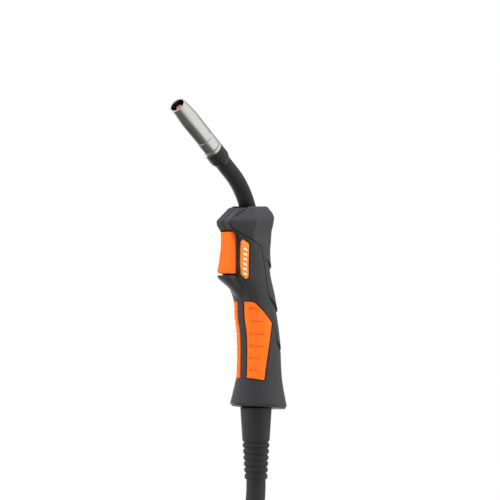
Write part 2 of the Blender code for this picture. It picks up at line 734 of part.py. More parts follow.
def cable_support():
    """Ball joint, strain relief and the cable held in it."""
    bore = CABLE_RADIUS + 0.6
    flare = 2.4  # the bore is wider at its top, where the cable in the grip bends as the ball tilts
    start = math.asin(10.0 / BALL_RADIUS)
    end = math.asin((RELIEF_TOP + GAP - BALL_Z) / BALL_RADIUS)
    arc = []
    for k in range(8):
        turn = start + (end - start) * k / 7
        arc.append((BALL_RADIUS * math.cos(turn), BALL_Z + BALL_RADIUS * math.sin(turn)))
    ball = ((bore, arc[-1][1]), (bore, BALL_Z), (bore + flare, arc[0][1]), *arc)
    turned("support_ball", ball, (0, 0, 0), (0, 0, 1), "black_plastic", 24)
    relief = ((bore, RELIEF_TOP), (13.2, RELIEF_TOP), (13.8, RELIEF_TOP - 0.8), (12.2, -87.5))
    relief += ((10.0, RELIEF_END + 0.6), (9.6, RELIEF_END), (bore, RELIEF_END))
    turned("strain_relief", relief, (0, 0, 0), (0, 0, 1), "cable_rubber", 24)
    route = ((0, 0, -50.5), (0, 0, -75.0), (0, 0, CABLE_START + GAP))
    tube("cable_in_support", route, CABLE_RADIUS, "cable_rubber")


def coil_point(radius, degrees, height):
    turn = math.radians(degrees)
    return (COIL_CENTRE[0] + radius * math.cos(turn), COIL_CENTRE[1] + radius * math.sin(turn), height)


def free_cable():
    """The cable from the strain relief down to the floor, its coil, and its tail up to the connector."""
    bend = ON_COIL_Z + 76.0
    route = [(0, 0, CABLE_START), (0, 0, -114.0), (0, 0, RELIEF_END)]
    for degrees in (8, 24, 40, 56, 72, 86):
        turn = math.radians(degrees)
        route.append((-76.0 + 76.0 * math.cos(turn), 0.0, bend - 76.0 * math.sin(turn)))
    outer = COIL_RADIUS + CABLE_RADIUS + 0.3
    route += [coil_point(outer, degrees, ON_COIL_Z) for degrees in (-100, -112, -124, -136, -148)]
    tube("cable", route, CABLE_RADIUS, "cable_rubber")
    low, high = COIL_RADIUS - COIL_HALF_WIDTH, COIL_RADIUS + COIL_HALF_WIDTH
    corner = 7.0
    section = []
    right, left, top = high - corner, low + corner, COIL_HEIGHT - corner
    for r, z, start in ((right, top, 0), (left, top, 90), (left, corner, 180), (right, corner, 270)):
        for step in range(2):
            turn = math.radians(start + 90 * step)
            section.append((r + corner * math.cos(turn), z + corner * math.sin(turn)))
    turned("cable_coil", section, (*COIL_CENTRE, FLOOR_Z), (0, 0, 1), "cable_rubber", 28)
    inner = COIL_RADIUS - CABLE_RADIUS - 0.3
    back = CONNECTOR_BACK
    tail = [coil_point(inner, degrees, ON_COIL_Z) for degrees in (222, 211, 200, 190)]
    for degrees, lift in ((6, 0.3), (22, 1.8), (38, 4.6), (54, 8.0), (70, 11.2), (84, 13.4)):
        turn = math.radians(degrees)
        x = COIL_CENTRE[0] - inner + 70.0 * (1 - math.cos(turn))
        tail.append((x, COIL_CENTRE[1] + 70.0 * math.sin(turn), ON_COIL_Z + lift))
    tail.append((back[0] + 6.0, back[1], back[2]))
    tail.append((back[0] + 20.0, back[1], back[2]))
    tube("cable_tail", tail, CABLE_RADIUS, "cable_rubber")


def connector():
    """The machine connector: relief, housing, brass body, gas pin, union nut and two sprung pins."""
    place = CONNECTOR_BACK

    def turned_x(name, profile, slot, steps=20, y=0.0, z=0.0):
        base = (place[0], place[1] + y, place[2] + z)
        return turned(name, profile, base, (1, 0, 0), slot, steps)

    inside = CABLE_RADIUS + 0.6
    turned_x("connector_relief", ((inside, 0), (10.2, 0), (13.4, 32.0), (inside, 32.0)), "cable_rubber")
    housing = ((inside, 32.3), (14.0, 32.3), (16.6, 36.0), (17.6, 50.0), (19.0, 84.0))
    housing += ((19.0, 88.0), (13.9, 88.0), (13.9, 66.0), (inside, 66.0))
    turned_x("connector_housing", housing, "black_plastic")
    body = ((2.2, 70.0), (13.6, 70.0), (13.6, 100.0), (12.8, 101.0), (2.2, 101.0))
    core = turned_x("connector_core", body, None, 16)
    for y in (-8.6, 8.6):
        boolean(core, turned_x("pin_hole", ((0, 80), (2.4, 80), (2.4, 110), (0, 110)), None, 10, y))
    boolean(core, turned_x("gas_bore", ((0, 85), (5.3, 85), (5.3, 110), (0, 110)), None, 16))
    finish(show(core), "brass")
    pin = ((1.2, 85.3), (5.0, 85.3), (5.0, 112.0), (4.3, 112.4), (4.3, 114.0))
    pin += ((5.0, 114.4), (5.0, 120.0), (4.2, 122.0), (1.2, 122.0))
    turned_x("gas_pin", pin, "brass", 16)
    seal = ((4.6, 112.7), (5.3, 112.7), (5.5, 113.2), (5.3, 113.7), (4.6, 113.7))
    turned_x("gas_pin_seal", seal, "cable_rubber", 16)
    for number, y in ((1, -8.6), (2, 8.6)):
        contact = ((0, 86.0), (2.0, 86.0), (2.0, 104.6), (1.4, 105.4), (0, 105.4))
        turned_x(f"control_pin_{number}", contact, "brass", 10, y)
    rim = CONNECTOR_NUT_RADIUS
    nut = ((14.4, 90.6), (19.0, 90.6), (rim, 92.0), (rim, 110.0), (21.2, 111.4))
    nut += ((18.4, 111.4), (18.4, 95.0), (14.4, 95.0))
    ring = turned_x("connector_nut", nut, None, 18)
    for k in range(6):
        turn = 2 * math.pi * (k + 0.5) / 6
        across = (rim + 1.4) * math.cos(turn), (rim + 1.4) * math.sin(turn)
        boolean(ring, turned_x("flute", ((0, 85), (2.9, 85), (2.9, 120), (0, 120)), None, 8, *across))
    finish(show(ring), "black_plastic")


def main():
    clear_scene()
    shells()
    cover()
    side_pieces()
    screws()
    trigger()
    switch()
    neck()
    front_end()
    power_joint()
    cable_support()
    free_cable()
    connector()


main()
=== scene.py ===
"""Looks of the gas-cooled MIG welding torch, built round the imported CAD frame.

Lengths are in millimetres in the row's frame: +Z up the handle, -X to the trigger, Y = 0 symmetric.
"""

import json
import math

import bmesh
import bpy
from mathutils import Matrix, Vector


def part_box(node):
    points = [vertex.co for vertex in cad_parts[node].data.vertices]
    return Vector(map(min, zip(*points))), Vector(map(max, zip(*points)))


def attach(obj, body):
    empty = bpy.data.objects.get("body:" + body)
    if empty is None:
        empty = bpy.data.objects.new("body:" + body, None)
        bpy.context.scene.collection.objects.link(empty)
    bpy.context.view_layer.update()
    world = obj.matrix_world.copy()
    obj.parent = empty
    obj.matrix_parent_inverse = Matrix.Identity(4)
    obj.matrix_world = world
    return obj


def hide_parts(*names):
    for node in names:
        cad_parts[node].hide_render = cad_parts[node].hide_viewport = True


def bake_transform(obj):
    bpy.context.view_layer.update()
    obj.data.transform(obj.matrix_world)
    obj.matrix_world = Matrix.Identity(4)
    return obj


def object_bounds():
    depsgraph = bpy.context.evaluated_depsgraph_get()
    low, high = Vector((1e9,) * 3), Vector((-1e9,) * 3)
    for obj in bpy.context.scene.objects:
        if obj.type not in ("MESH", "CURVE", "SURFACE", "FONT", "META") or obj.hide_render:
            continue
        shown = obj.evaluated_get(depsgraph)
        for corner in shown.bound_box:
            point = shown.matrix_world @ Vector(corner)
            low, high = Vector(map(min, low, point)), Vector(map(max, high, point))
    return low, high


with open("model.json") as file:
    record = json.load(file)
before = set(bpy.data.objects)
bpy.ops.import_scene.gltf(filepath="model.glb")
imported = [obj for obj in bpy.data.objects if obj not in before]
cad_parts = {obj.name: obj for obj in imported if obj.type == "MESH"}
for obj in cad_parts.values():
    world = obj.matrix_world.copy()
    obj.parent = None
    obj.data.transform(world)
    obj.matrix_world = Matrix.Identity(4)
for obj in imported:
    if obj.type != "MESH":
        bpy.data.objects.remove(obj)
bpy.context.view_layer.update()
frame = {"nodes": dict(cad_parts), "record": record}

RECORD = frame["record"]
BODY_OF = {node: body for body, nodes in RECORD["behaviour"]["bodies"].items() for node in nodes}
SLOT_OF = {row["node"]: row["material_slot"] for row in RECORD["subparts"]}
MM = 0.001
GAP = 0.3

# Camera: level, on the trigger's left, far enough for nearly parallel lines
AZIMUTH = math.radians(-48.0)
CAMERA_DISTANCE = 8.0
FRAME_WIDTH = 0.439
AIM_HEIGHT = 0.077
AIM_TO_THE_RIGHT = -0.00526
SENSOR = 36.0

# Studio: patches of the surroundings as (direction, cosines where they start and end, levels there)
STUDIO_PATCHES = (
    ((-0.065, -0.08, -0.965), (0.55, 0.93), (1.0, 0.14)),
    ((0.1, 0.6, -0.8), (0.7, 1.0), (1.0, 0.6)),
    ((0.39, 0.82, -0.42), (0.88, 1.0), (1.0, 2.6)),
    ((0.95, 0.2, 0.2), (0.85, 1.0), (1.0, 0.45)),
    ((-0.743, -0.669, 0.0), (0.3, 1.0), (1.0, 0.35)),
)
# Share of the surroundings' light that falls on matt surfaces
DIFFUSE_LEVEL = 0.47
# name, azimuth, elevation, distance, size, power
SOFTBOXES = (
    ("right", 30.0, 74.0, 1.5, (0.9, 1.2), 60.0),
    ("left", -122.0, 10.0, 1.5, (0.7, 1.4), 18.0),
    ("back", 140.0, 20.0, 1.8, (1.2, 1.2), 6.0),
)

# Handle
HANDLE_BOTTOM = -61.0
HANDLE_TOP = 114.0
COVER_TOP = 115.3
HEAD_UNDERSIDE = 94.0
SLOT_BOTTOM = 54.9
SLOT_HALF_WIDTH = 7.0
SKIRT_SLANT = 0.083
SLANT_TOP = -45.0
BODY_FRONT = -34.2
SEAM = 0.05
NOSE_MIDDLE = 8.2
COVER_NOSE = -22.0
WALL = 3.8
COVER_WALL = 2.4
INSERT_DEPTH = 1.9
LABEL_DEPTH = 1.0
STRIP_HALF_WIDTH = 4.0
HALF_POINTS = 40
PROFILE_STEPS = 3
RING_STEP = 1.3

# height, widest point, reach to the front, reach to the rear, half width, exponent
GRIP_SECTIONS = (
    (-61.0, 3.0, 27.0, 27.5, 24.0, 2.0),
    (-45.0, 3.4, 23.2, 23.0, 20.3, 2.1),
    (-34.0, 4.0, 21.2, 21.0, 18.0, 2.2),
    (-22.0, 4.0, 20.6, 20.4, 16.8, 2.3),
    (-8.0, 3.4, 19.8, 20.4, 16.3, 2.4),
    (6.0, 2.0, 19.4, 20.8, 16.0, 2.4),
    (17.0, 0.4, 20.2, 20.8, 15.9, 2.4),
    (31.0, -2.0, 18.6, 20.4, 16.0, 2.4),
    (38.0, -4.0, 18.6, 20.6, 16.6, 2.4),
    (45.0, -6.0, 22.0, 20.6, 17.0, 2.3),
    (54.0, -9.0, 27.8, 21.4, 17.4, 2.2),
    (64.0, -11.5, 24.7, 23.6, 17.6, 2.1),
    (76.0, -14.0, 22.0, 25.6, 17.7, 2.1),
    (94.0, -14.0, 22.0, 28.0, 18.0, 2.1),
)

# The faceted head: height, then front face (x, half width), side's front corner, side's rear corner,
# rear corner, and the middle of the rear
HEAD_CORNERS = (
    (80.0, -34.2, 9.3, (-22.0, 17.3), (4.6, 13.4), (11.4, 7.4), 12.6),
    (89.8, -34.4, 9.3, (-22.0, 17.2), (5.2, 12.9), (12.4, 7.0), 13.6),
    (94.0, -38.7, 8.6, (-21.0, 17.5), (6.0, 12.9), (13.6, 6.4), 14.4),
    (98.6, -43.1, 7.9, (-20.0, 18.0), (7.8, 13.6), (15.2, 6.9), 16.0),
    (102.5, -43.6, 7.9, (-19.4, 18.4), (8.8, 13.8), (16.0, 7.0), 16.8),
    (109.0, -34.2, 7.9, (-18.2, 14.9), (7.8, 12.2), (14.4, 6.4), 15.4),
    (113.2, -28.2, 7.9, (-17.4, 12.6), (5.7, 10.2), (11.0, 5.4), 11.8),
    (116.0, -26.0, 7.9, (-17.0, 11.0), (4.4, 9.0), (8.6, 4.6), 9.2),
)
HEAD_EDGE_RADIUS = 1.3
HEAD_BLEND = (80.0, 89.5)
CORNER_STEPS = (0, 8, 15, 29, 35, 40)
REAR_LIFT = 3.0
LIFT_RISE = (96.0, 6.5)
LIFT_FALL = (112.0, 9.5)

# Finger guard: height, nose, half width
GUARD_SECTIONS = (
    (33.0, -20.6, 8.5),
    (37.0, -23.5, 8.0),
    (41.0, -28.4, 7.4),
    (45.0, -34.2, 6.8),
    (49.0, -41.0, 7.0),
    (52.2, -45.6, 7.5),
    (54.3, -46.5, 7.6),
    (54.9, -45.9, 7.4),
)
GUARD_BACK = -14.0

COVER_OUTLINE = (
    (-42.6, 101.6),
    (-42.3, 99.2),
    (-39.1, 96.2),
    (-35.4, 94.0),
    (-28.6, 90.0),
    (-22.4, 86.2),
    (-14.7, 82.2),
    (-11.8, 79.2),
    (-10.2, 73.1),
    (-7.3, 62.5),
    (-3.5, 45.4),
    (0.2, 35.3),
    (6.2, 20.2),
    (9.0, 5.0),
    (12.0, -9.0),
    (40.0, -20.0),
    (40.0, 130.0),
    (-5.0, 130.0),
    (-18.6, 115.6),
    (-23.0, 113.2),
    (-33.0, 108.0),
    (-41.4, 103.7),
)
INSERT_OUTLINE = ((-40.0, 31.0), (-16.3, 31.8), (3.6, 13.2), (-7.0, -37.4), (-18.0, -34.6), (-40.0, -33.4))
LABEL_OUTLINE = (
    (-31.5, 84.6),
    (-30.2, 86.4),
    (-25.8, 82.5),
    (-25.8, 53.2),
    (-27.2, 51.4),
    (-31.5, 55.8),
)
SCREW_HEAD = 2.2
TRIGGER_PIN = (-29.5, 89.0)
TRIGGER_HALF_WIDTH = 6.6
TRIGGER_NOSE_HALF_WIDTH = 4.3
TRIGGER_SECTIONS = (
    (56.3, -43.8, -32.0),
    (57.2, -45.6, -32.0),
    (58.4, -46.0, -32.0),
    (61.0, -45.0, -32.0),
    (67.5, -42.3, -32.0),
    (75.0, -40.2, -32.0),
    (80.0, -39.3, -32.0),
    (83.0, -39.3, -32.0),
    (85.6, -39.3, -26.6),
    (93.0, -39.3, -26.6),
)

# Cable support and cable
BALL_Z = -48.0
BALL_RADIUS = 17.3
MOUTH_RADIUS = 16.2
RELIEF_TOP = -61.0
RELIEF_END = -124.0
CABLE_RADIUS = 8.5
CABLE_START = -104.0
FLOOR_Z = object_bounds()[0].z / MM
COIL_CENTRE = (-76.0, 107.8)
COIL_RADIUS = 99.0
COIL_HEIGHT = 35.0
ON_COIL_Z = FLOOR_Z + COIL_HEIGHT + CABLE_RADIUS + GAP
CONNECTOR_BACK = (-96.0, 177.8, FLOOR_Z + COIL_HEIGHT + 22.8)
HANG_BEND = 76.0
TAIL_BEND = 70.0
COIL_START = -100.0
COIL_END = -1578.0


def clamp(value, low=0.0, high=1.0):
    return max(low, min(high, value))


def eased(value):
    value = clamp(value)
    return value * value * (3 - 2 * value)


# ---------------------------------------------------------------- camera, light, floor


def camera():
    back = Vector((math.sin(AZIMUTH), -math.cos(AZIMUTH), 0.0))
    right = Vector((math.cos(AZIMUTH), math.sin(AZIMUTH), 0.0))
    data = bpy.data.cameras.new("camera")
    data.sensor_width = SENSOR
    data.lens = SENSOR * CAMERA_DISTANCE / FRAME_WIDTH
    data.clip_start, data.clip_end = 0.1, 40.0
    eye = bpy.data.objects.new("camera", data)
    bpy.context.scene.collection.objects.link(eye)
    aim = Vector((0.0, 0.0, AIM_HEIGHT)) + AIM_TO_THE_RIGHT * right
    eye.location = aim + CAMERA_DISTANCE * back
    eye.rotation_euler = (math.radians(90.0), 0.0, AZIMUTH)
    bpy.context.scene.camera = eye


def softbox(name, azimuth, elevation, distance, size, power):
    """A rectangular area light that faces the handle and isn't seen in reflections."""
    a, e = math.radians(azimuth), math.radians(elevation)
    back = Vector((math.sin(a) * math.cos(e), -math.cos(a) * math.cos(e), math.sin(e)))
    data = bpy.data.lights.new(name, "AREA")
    data.shape = "RECTANGLE"
    data.size, data.size_y = size
    data.energy = power
    lamp = bpy.data.objects.new(name, data)
    bpy.context.scene.collection.objects.link(lamp)
    lamp.location = Vector((0.0, 0.0, 0.06)) + distance * back
    lamp.rotation_euler = (-back).to_track_quat("-Z", "Y").to_euler()
    lamp.visible_camera = False
    lamp.visible_glossy = False


def studio():
    """White to the camera; to the object, an even studio with darker patches and one bright one."""
    world = bpy.data.worlds.new("studio")
    bpy.context.scene.world = world
    world.use_nodes = True
    nodes, links = world.node_tree.nodes, world.node_tree.links
    nodes["Background"].inputs["Color"].default_value = (1.0, 1.0, 1.0, 1.0)
    lighting = nodes.new("ShaderNodeBackground")
    lighting.inputs["Strength"].default_value = 1.0
    place = nodes.new("ShaderNodeTexCoord")
    glow = None
    for direction, edges, levels in STUDIO_PATCHES:
        toward = nodes.new("ShaderNodeVectorMath")
        toward.operation = "DOT_PRODUCT"
        toward.inputs[1].default_value = Vector(direction).normalized()
        links.new(place.outputs["Generated"], toward.inputs[0])
        level = nodes.new("ShaderNodeMapRange")
        level.interpolation_type = "SMOOTHSTEP"
        level.inputs["From Min"].default_value, level.inputs["From Max"].default_value = edges
        level.inputs["To Min"].default_value, level.inputs["To Max"].default_value = levels
        links.new(toward.outputs["Value"], level.inputs["Value"])
        if glow:
            both = nodes.new("ShaderNodeMath")
            both.operation = "MULTIPLY"
            links.new(glow, both.inputs[0])
            links.new(level.outputs["Result"], both.inputs[1])
            glow = both.outputs[0]
        else:
            glow = level.outputs["Result"]
    path = nodes.new("ShaderNodeLightPath")
    shade = nodes.new("ShaderNodeMapRange")
    shade.inputs["To Min"].default_value = DIFFUSE_LEVEL
    shade.inputs["To Max"].default_value = 1.0
    links.new(path.outputs["Is Glossy Ray"], shade.inputs["Value"])
    total = nodes.new("ShaderNodeMath")
    total.operation = "MULTIPLY"
    links.new(glow, total.inputs[0])
    links.new(shade.outputs["Result"], total.inputs[1])
    links.new(total.outputs[0], lighting.inputs["Strength"])
    mix = nodes.new("ShaderNodeMixShader")
    links.new(path.outputs["Is Camera Ray"], mix.inputs["Fac"])
    links.new(lighting.outputs["Background"], mix.inputs[1])
    links.new(nodes["Background"].outputs["Background"], mix.inputs[2])
    links.new(mix.outputs["Shader"], nodes["World Output"].inputs["Surface"])
    for name, azimuth, elevation, distance, size, power in SOFTBOXES:
        softbox(name, azimuth, elevation, distance, size, power)
    bpy.context.scene.view_settings.view_transform = "Standard"


def floor():
    mesh = bpy.data.meshes.new("floor")
    bm = bmesh.new()
    bmesh.ops.create_circle(bm, cap_ends=True, segments=96, radius=2.6)
    bm.to_mesh(mesh)
    bm.free()
    obj = bpy.data.objects.new("floor", mesh)
    obj.location = (0.0, 0.0, FLOOR_Z * MM - 0.0002)
    bpy.context.scene.collection.objects.link(obj)
    paint = bpy.data.materials.new("floor_paint")
    paint.use_nodes = True
    shader = paint.node_tree.nodes["Principled BSDF"]
    shader.inputs["Base Color"].default_value = (0.86, 0.86, 0.86, 1.0)
    shader.inputs["Roughness"].default_value = 0.7
    mesh.materials.append(paint)
    obj.visible_glossy = False


# ---------------------------------------------------------------- materials


def surface(name, colour, roughness, metallic, grain, bump, mottle, spread, specular, stretch, turn):
    """A material with a fine grain in its relief and soft changes of colour and roughness.

    grain is the size of the grain in millimetres, mottle the share by which the colour changes,
    spread the change of roughness. stretch scales the grain's coordinates after the turn."""
    paint = bpy.data.materials.new(name)
    paint.use_nodes = True
    nodes, links = paint.node_tree.nodes, paint.node_tree.links
    shader = nodes["Principled BSDF"]
    shader.inputs["Metallic"].default_value = metallic
    shader.inputs["Specular IOR Level"].default_value = specular
    place = nodes.new("ShaderNodeTexCoord")
    mapping = nodes.new("ShaderNodeMapping")
    mapping.inputs["Rotation"].default_value = turn
    links.new(place.outputs["Object"], mapping.inputs["Vector"])
    scaled = nodes.new("ShaderNodeMapping")
    scaled.inputs["Scale"].default_value = stretch
    links.new(mapping.outputs["Vector"], scaled.inputs["Vector"])

    fine = nodes.new("ShaderNodeTexNoise")
    fine.inputs["Scale"].default_value = 1.0 / (grain * MM)
    fine.inputs["Detail"].default_value = 3.0
    links.new(scaled.outputs["Vector"], fine.inputs["Vector"])
    relief = nodes.new("ShaderNodeBump")
    relief.inputs["Strength"].default_value = bump
    relief.inputs["Distance"].default_value = 0.1 * MM
    links.new(fine.outputs["Fac"], relief.inputs["Height"])
    links.new(relief.outputs["Normal"], shader.inputs["Normal"])

    broad = nodes.new("ShaderNodeTexNoise")
    broad.inputs["Scale"].default_value = 60.0
    broad.inputs["Detail"].default_value = 4.0
    links.new(place.outputs["Object"], broad.inputs["Vector"])
    mixed = nodes.new("ShaderNodeMath")
    mixed.operation = "MULTIPLY_ADD"
    mixed.inputs[1].default_value = 0.45
    links.new(fine.outputs["Fac"], mixed.inputs[0])
    links.new(broad.outputs["Fac"], mixed.inputs[2])
    tint = nodes.new("ShaderNodeValToRGB")
    tint.color_ramp.elements[0].position = 0.45
    tint.color_ramp.elements[1].position = 1.0
    tint.color_ramp.elements[0].color = (*[c * (1 - mottle) for c in colour], 1.0)
    tint.color_ramp.elements[1].color = (*[clamp(c * (1 + mottle)) for c in colour], 1.0)
    links.new(mixed.outputs[0], tint.inputs["Fac"])
    links.new(tint.outputs["Color"], shader.inputs["Base Color"])
    gloss = nodes.new("ShaderNodeMapRange")
    gloss.inputs["From Min"].default_value = 0.45
    gloss.inputs["From Max"].default_value = 1.0
    gloss.inputs["To Min"].default_value = clamp(roughness - spread)
    gloss.inputs["To Max"].default_value = clamp(roughness + spread)
    links.new(mixed.outputs[0], gloss.inputs["Value"])
    links.new(gloss.outputs["Result"], shader.inputs["Roughness"])
    return paint


# name: colour, roughness, metallic, grain, bump, mottle, spread, specular level
FINISHES = {
    "handle_plastic": ((0.026, 0.026, 0.028), 0.45, 0.0, 0.35, 0.35, 0.05, 0.06, 0.5),
    "orange_rubber": ((0.97, 0.16, 0.014), 0.6, 0.0, 0.6, 0.15, 0.05, 0.06, 0.15),
    "orange_plastic": ((0.97, 0.15, 0.012), 0.45, 0.0, 0.5, 0.12, 0.05, 0.06, 0.2),
    "label_plastic": ((0.98, 0.27, 0.045), 0.5, 0.0, 0.5, 0.1, 0.05, 0.06, 0.2),
    "neck_coating": ((0.016, 0.016, 0.017), 0.4, 0.0, 0.6, 0.1, 0.05, 0.06, 0.3),
    "nozzle_steel": ((0.85, 0.85, 0.84), 0.2, 1.0, 0.25, 0.02, 0.02, 0.02, 0.5),
    "copper": ((0.85, 0.4, 0.25), 0.28, 1.0, 0.2, 0.08, 0.06, 0.08, 0.5),
    "brass": ((0.78, 0.58, 0.26), 0.28, 1.0, 0.3, 0.08, 0.06, 0.08, 0.5),
    "steel": ((0.58, 0.58, 0.58), 0.3, 1.0, 0.3, 0.08, 0.05, 0.08, 0.5),
    # A darker copy of steel: painted shade that dims the ferrule's reflection
    "painted_shade_steel": ((0.16, 0.16, 0.16), 0.3, 1.0, 0.3, 0.08, 0.05, 0.08, 0.5),
    "black_plastic": ((0.014, 0.014, 0.015), 0.42, 0.0, 0.6, 0.03, 0.05, 0.06, 0.5),
    "cable_rubber": ((0.018, 0.018, 0.018), 0.5, 0.0, 0.7, 0.35, 0.05, 0.06, 0.5),
    "wire_insulation": ((0.5, 0.04, 0.03), 0.4, 0.0, 0.5, 0.1, 0.05, 0.06, 0.5),
    "pad_print": ((0.95, 0.93, 0.9), 0.5, 0.0, 0.3, 0.1, 0.05, 0.06, 0.5),
}
# Turned on a lathe, with the marks running round the nozzle's tilted axis
TURNED = ("nozzle_steel", "copper")
NOZZLE_TILT = math.radians(50.0)


def materials():
    paints = {}
    for name, finish in FINISHES.items():
        stretch = (0.03, 0.03, 1.0) if name in TURNED else (1.0, 1.0, 1.0)
        turn = (0.0, NOZZLE_TILT, 0.0) if name in TURNED else (0.0, 0.0, 0.0)
        paints[name] = surface(name, *finish, stretch, turn)
    return paints


# ---------------------------------------------------------------- mesh helpers


def mesh_object(name, points, faces):
    """An object of these points, in millimetres, with its faces turned outwards."""
    mesh = bpy.data.meshes.new(name)
    mesh.from_pydata([Vector(p) * MM for p in points], [], faces)
    bm = bmesh.new()
    bm.from_mesh(mesh)
    bmesh.ops.recalc_face_normals(bm, faces=bm.faces)
    bm.to_mesh(mesh)
    bm.free()
    obj = bpy.data.objects.new(name, mesh)
    bpy.context.scene.collection.objects.link(obj)
    return obj


def loft(name, rings):
    """A closed solid through rings of equal point counts, with flat ends."""
    size = len(rings[0])
    points = [p for ring in rings for p in ring]
    faces = [list(range(size)), list(range(len(points) - size, len(points)))]
    for row in range(len(rings) - 1):
        for k in range(size):
            a, b = row * size + k, row * size + (k + 1) % size
            faces.append([a, b, b + size, a + size])
    return mesh_object(name, points, faces)


def prism(name, outline, low, high):
    """An outline of (x, z) extruded along y."""
    return loft(name, [[(u, y, v) for u, v in outline] for y in (low, high)])


def block(name, low, high):
    corners = ((low[0], low[2]), (high[0], low[2]), (high[0], high[2]), (low[0], high[2]))
    return prism(name, corners, low[1], high[1])


def turned(name, profile, base, direction, steps=72):
    """A solid of revolution. The profile is a loop of (radius, distance along the axis)."""
    axis = Vector(direction).normalized()
    side = axis.orthogonal().normalized()
    across = axis.cross(side)
    points, faces, index = [], [], {}
    for row, (radius, along) in enumerate(profile):
        for k in range(steps if radius > 0 else 1):
            turn = 2 * math.pi * (k + 0.37) / steps
            spoke = math.cos(turn) * side + math.sin(turn) * across
            index[row, k] = len(points)
            points.append(Vector(base) + along * axis + radius * spoke)
    for row in range(len(profile)):
        below = (row + 1) % len(profile)
        if profile[row][0] <= 0 and profile[below][0] <= 0:
            continue
        for k in range(steps):
            corners = []
            for at, turn in ((row, k), (row, k + 1), (below, k + 1), (below, k)):
                corner = index[at, turn % steps if profile[at][0] > 0 else 0]
                if corner not in corners:
                    corners.append(corner)
            faces.append(corners)
    return mesh_object(name, points, faces)


def boolean(target, cutter, operation="DIFFERENCE"):
    """Applies a Boolean to the target's mesh and removes the cutter."""
    modifier = target.modifiers.new("cut", "BOOLEAN")
    modifier.operation = operation
    modifier.solver = "MANIFOLD"
    modifier.object = cutter
    graph = bpy.context.evaluated_depsgraph_get()
    cut_mesh = bpy.data.meshes.new_from_object(target.evaluated_get(graph))
    target.modifiers.remove(modifier)
    target.data = cut_mesh
    bpy.data.objects.remove(cutter, do_unlink=True)
    return target


def bevelled(obj, width, segments=3, angle=30.0):
    """Rounds the edges that are sharper than the angle."""
    modifier = obj.modifiers.new("edges", "BEVEL")
    modifier.width = width * MM
    modifier.segments = segments
    modifier.limit_method = "ANGLE"
    modifier.angle_limit = math.radians(angle)
    graph = bpy.context.evaluated_depsgraph_get()
    obj.data = bpy.data.meshes.new_from_object(obj.evaluated_get(graph))
    obj.modifiers.clear()
    return obj


def copy_of(source, name):
    twin = source.copy()
    twin.data = source.data.copy()
    twin.name = name
    bpy.context.scene.collection.objects.link(twin)
    return twin


def mirrored(source, name):
    """A copy on the other side of the plane of symmetry."""
    twin = copy_of(source, name)
    twin.data.transform(Matrix.Scale(-1, 4, (0, 1, 0)))
    twin.data.flip_normals()
    return twin


def smooth(route, between=3):
    """Points along a centripetal Catmull-Rom curve through the route."""
    points = [Vector(place) for place in route]
    points = [2 * points[0] - points[1], *points, 2 * points[-1] - points[-2]]
    found = []
    for four in zip(points, points[1:], points[2:], points[3:]):
        times = [0.0]
        for near, far in zip(four, four[1:]):
            times.append(times[-1] + (far - near).length ** 0.5)
        for k in range(between):
            at = times[1] + (times[2] - times[1]) * k / between
            found.append(between_knots(four, times, at))
    found.append(points[-2])
    return found


def between_knots(four, times, at):
    """A Catmull-Rom curve's point at this time, between the second and the third of four knots."""

    def mixed(near, far, start, end):
        return near + (far - near) * ((at - start) / (end - start))

    first = [mixed(four[i], four[i + 1], times[i], times[i + 1]) for i in range(3)]
    second = [mixed(first[i], first[i + 1], times[i], times[i + 2]) for i in range(2)]
    return mixed(second[0], second[1], times[1], times[2])


def tube_mesh(name, line, radius, sides=24):
    """A closed round tube along the points of a line."""
    side = (line[1] - line[0]).orthogonal().normalized()
    rings = []
    for k, centre in enumerate(line):
        ahead = (line[min(k + 1, len(line) - 1)] - line[max(k - 1, 0)]).normalized()
        side = (side - side.dot(ahead) * ahead).normalized()
        across = ahead.cross(side)
        turns = [2 * math.pi * i / sides for i in range(sides)]
        rings.append([centre + radius * (math.cos(t) * side + math.sin(t) * across) for t in turns])
    return loft(name, rings)


PAINT = materials()


def shown(obj, node, angle=32.0, paint=None):
    """Shades the piece, paints it and lets it stand for the CAD node on that node's body."""
    bpy.context.view_layer.objects.active = obj
    obj.data.shade_smooth()
    obj.data.set_sharp_from_angle(angle=math.radians(angle))
    obj.data.materials.clear()
    obj.data.materials.append(PAINT[paint or SLOT_OF[node]])
    obj.name = f"{node}_shape"
    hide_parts(node)
    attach(obj, BODY_OF[node])
    return obj


# ---------------------------------------------------------------- handle


def curve_through(rows, height):
    """The rows' values at this height, on a cubic curve through them."""
    height = clamp(height, rows[0][0], rows[-1][0])
    k = max(i for i in range(len(rows) - 1) if rows[i][0] <= height)
    a, b = rows[k], rows[k + 1]
    before, after = rows[max(k - 1, 0)], rows[min(k + 2, len(rows) - 1)]
    span = b[0] - a[0]
    t = (height - a[0]) / span
    found = []
    for i in range(1, len(a)):
        start = (b[i] - before[i]) / (b[0] - before[0]) * span
        end = (after[i] - a[i]) / (after[0] - a[0]) * span
        value = (2 * t**3 - 3 * t**2 + 1) * a[i] + (t**3 - 2 * t**2 + t) * start
        found.append(value + (3 * t**2 - 2 * t**3) * b[i] + (t**3 - t**2) * end)
    return found


def head_corners(height):
    """The head's corners at this height, on straight lines between its rows."""
    height = clamp(height, HEAD_CORNERS[0][0], HEAD_CORNERS[-1][0])
    k = max(i for i in range(len(HEAD_CORNERS) - 1) if HEAD_CORNERS[i][0] <= height)
    a, b = HEAD_CORNERS[k : k + 2]
    t = (height - a[0]) / (b[0] - a[0])
    corners = []
    for row in (a, b):
        corners.append([(row[1], 0.0), (row[1], row[2]), *row[3:6], (row[6], 0.0)])
    return [Vector(p).lerp(Vector(q), t) for p, q in zip(*corners)]


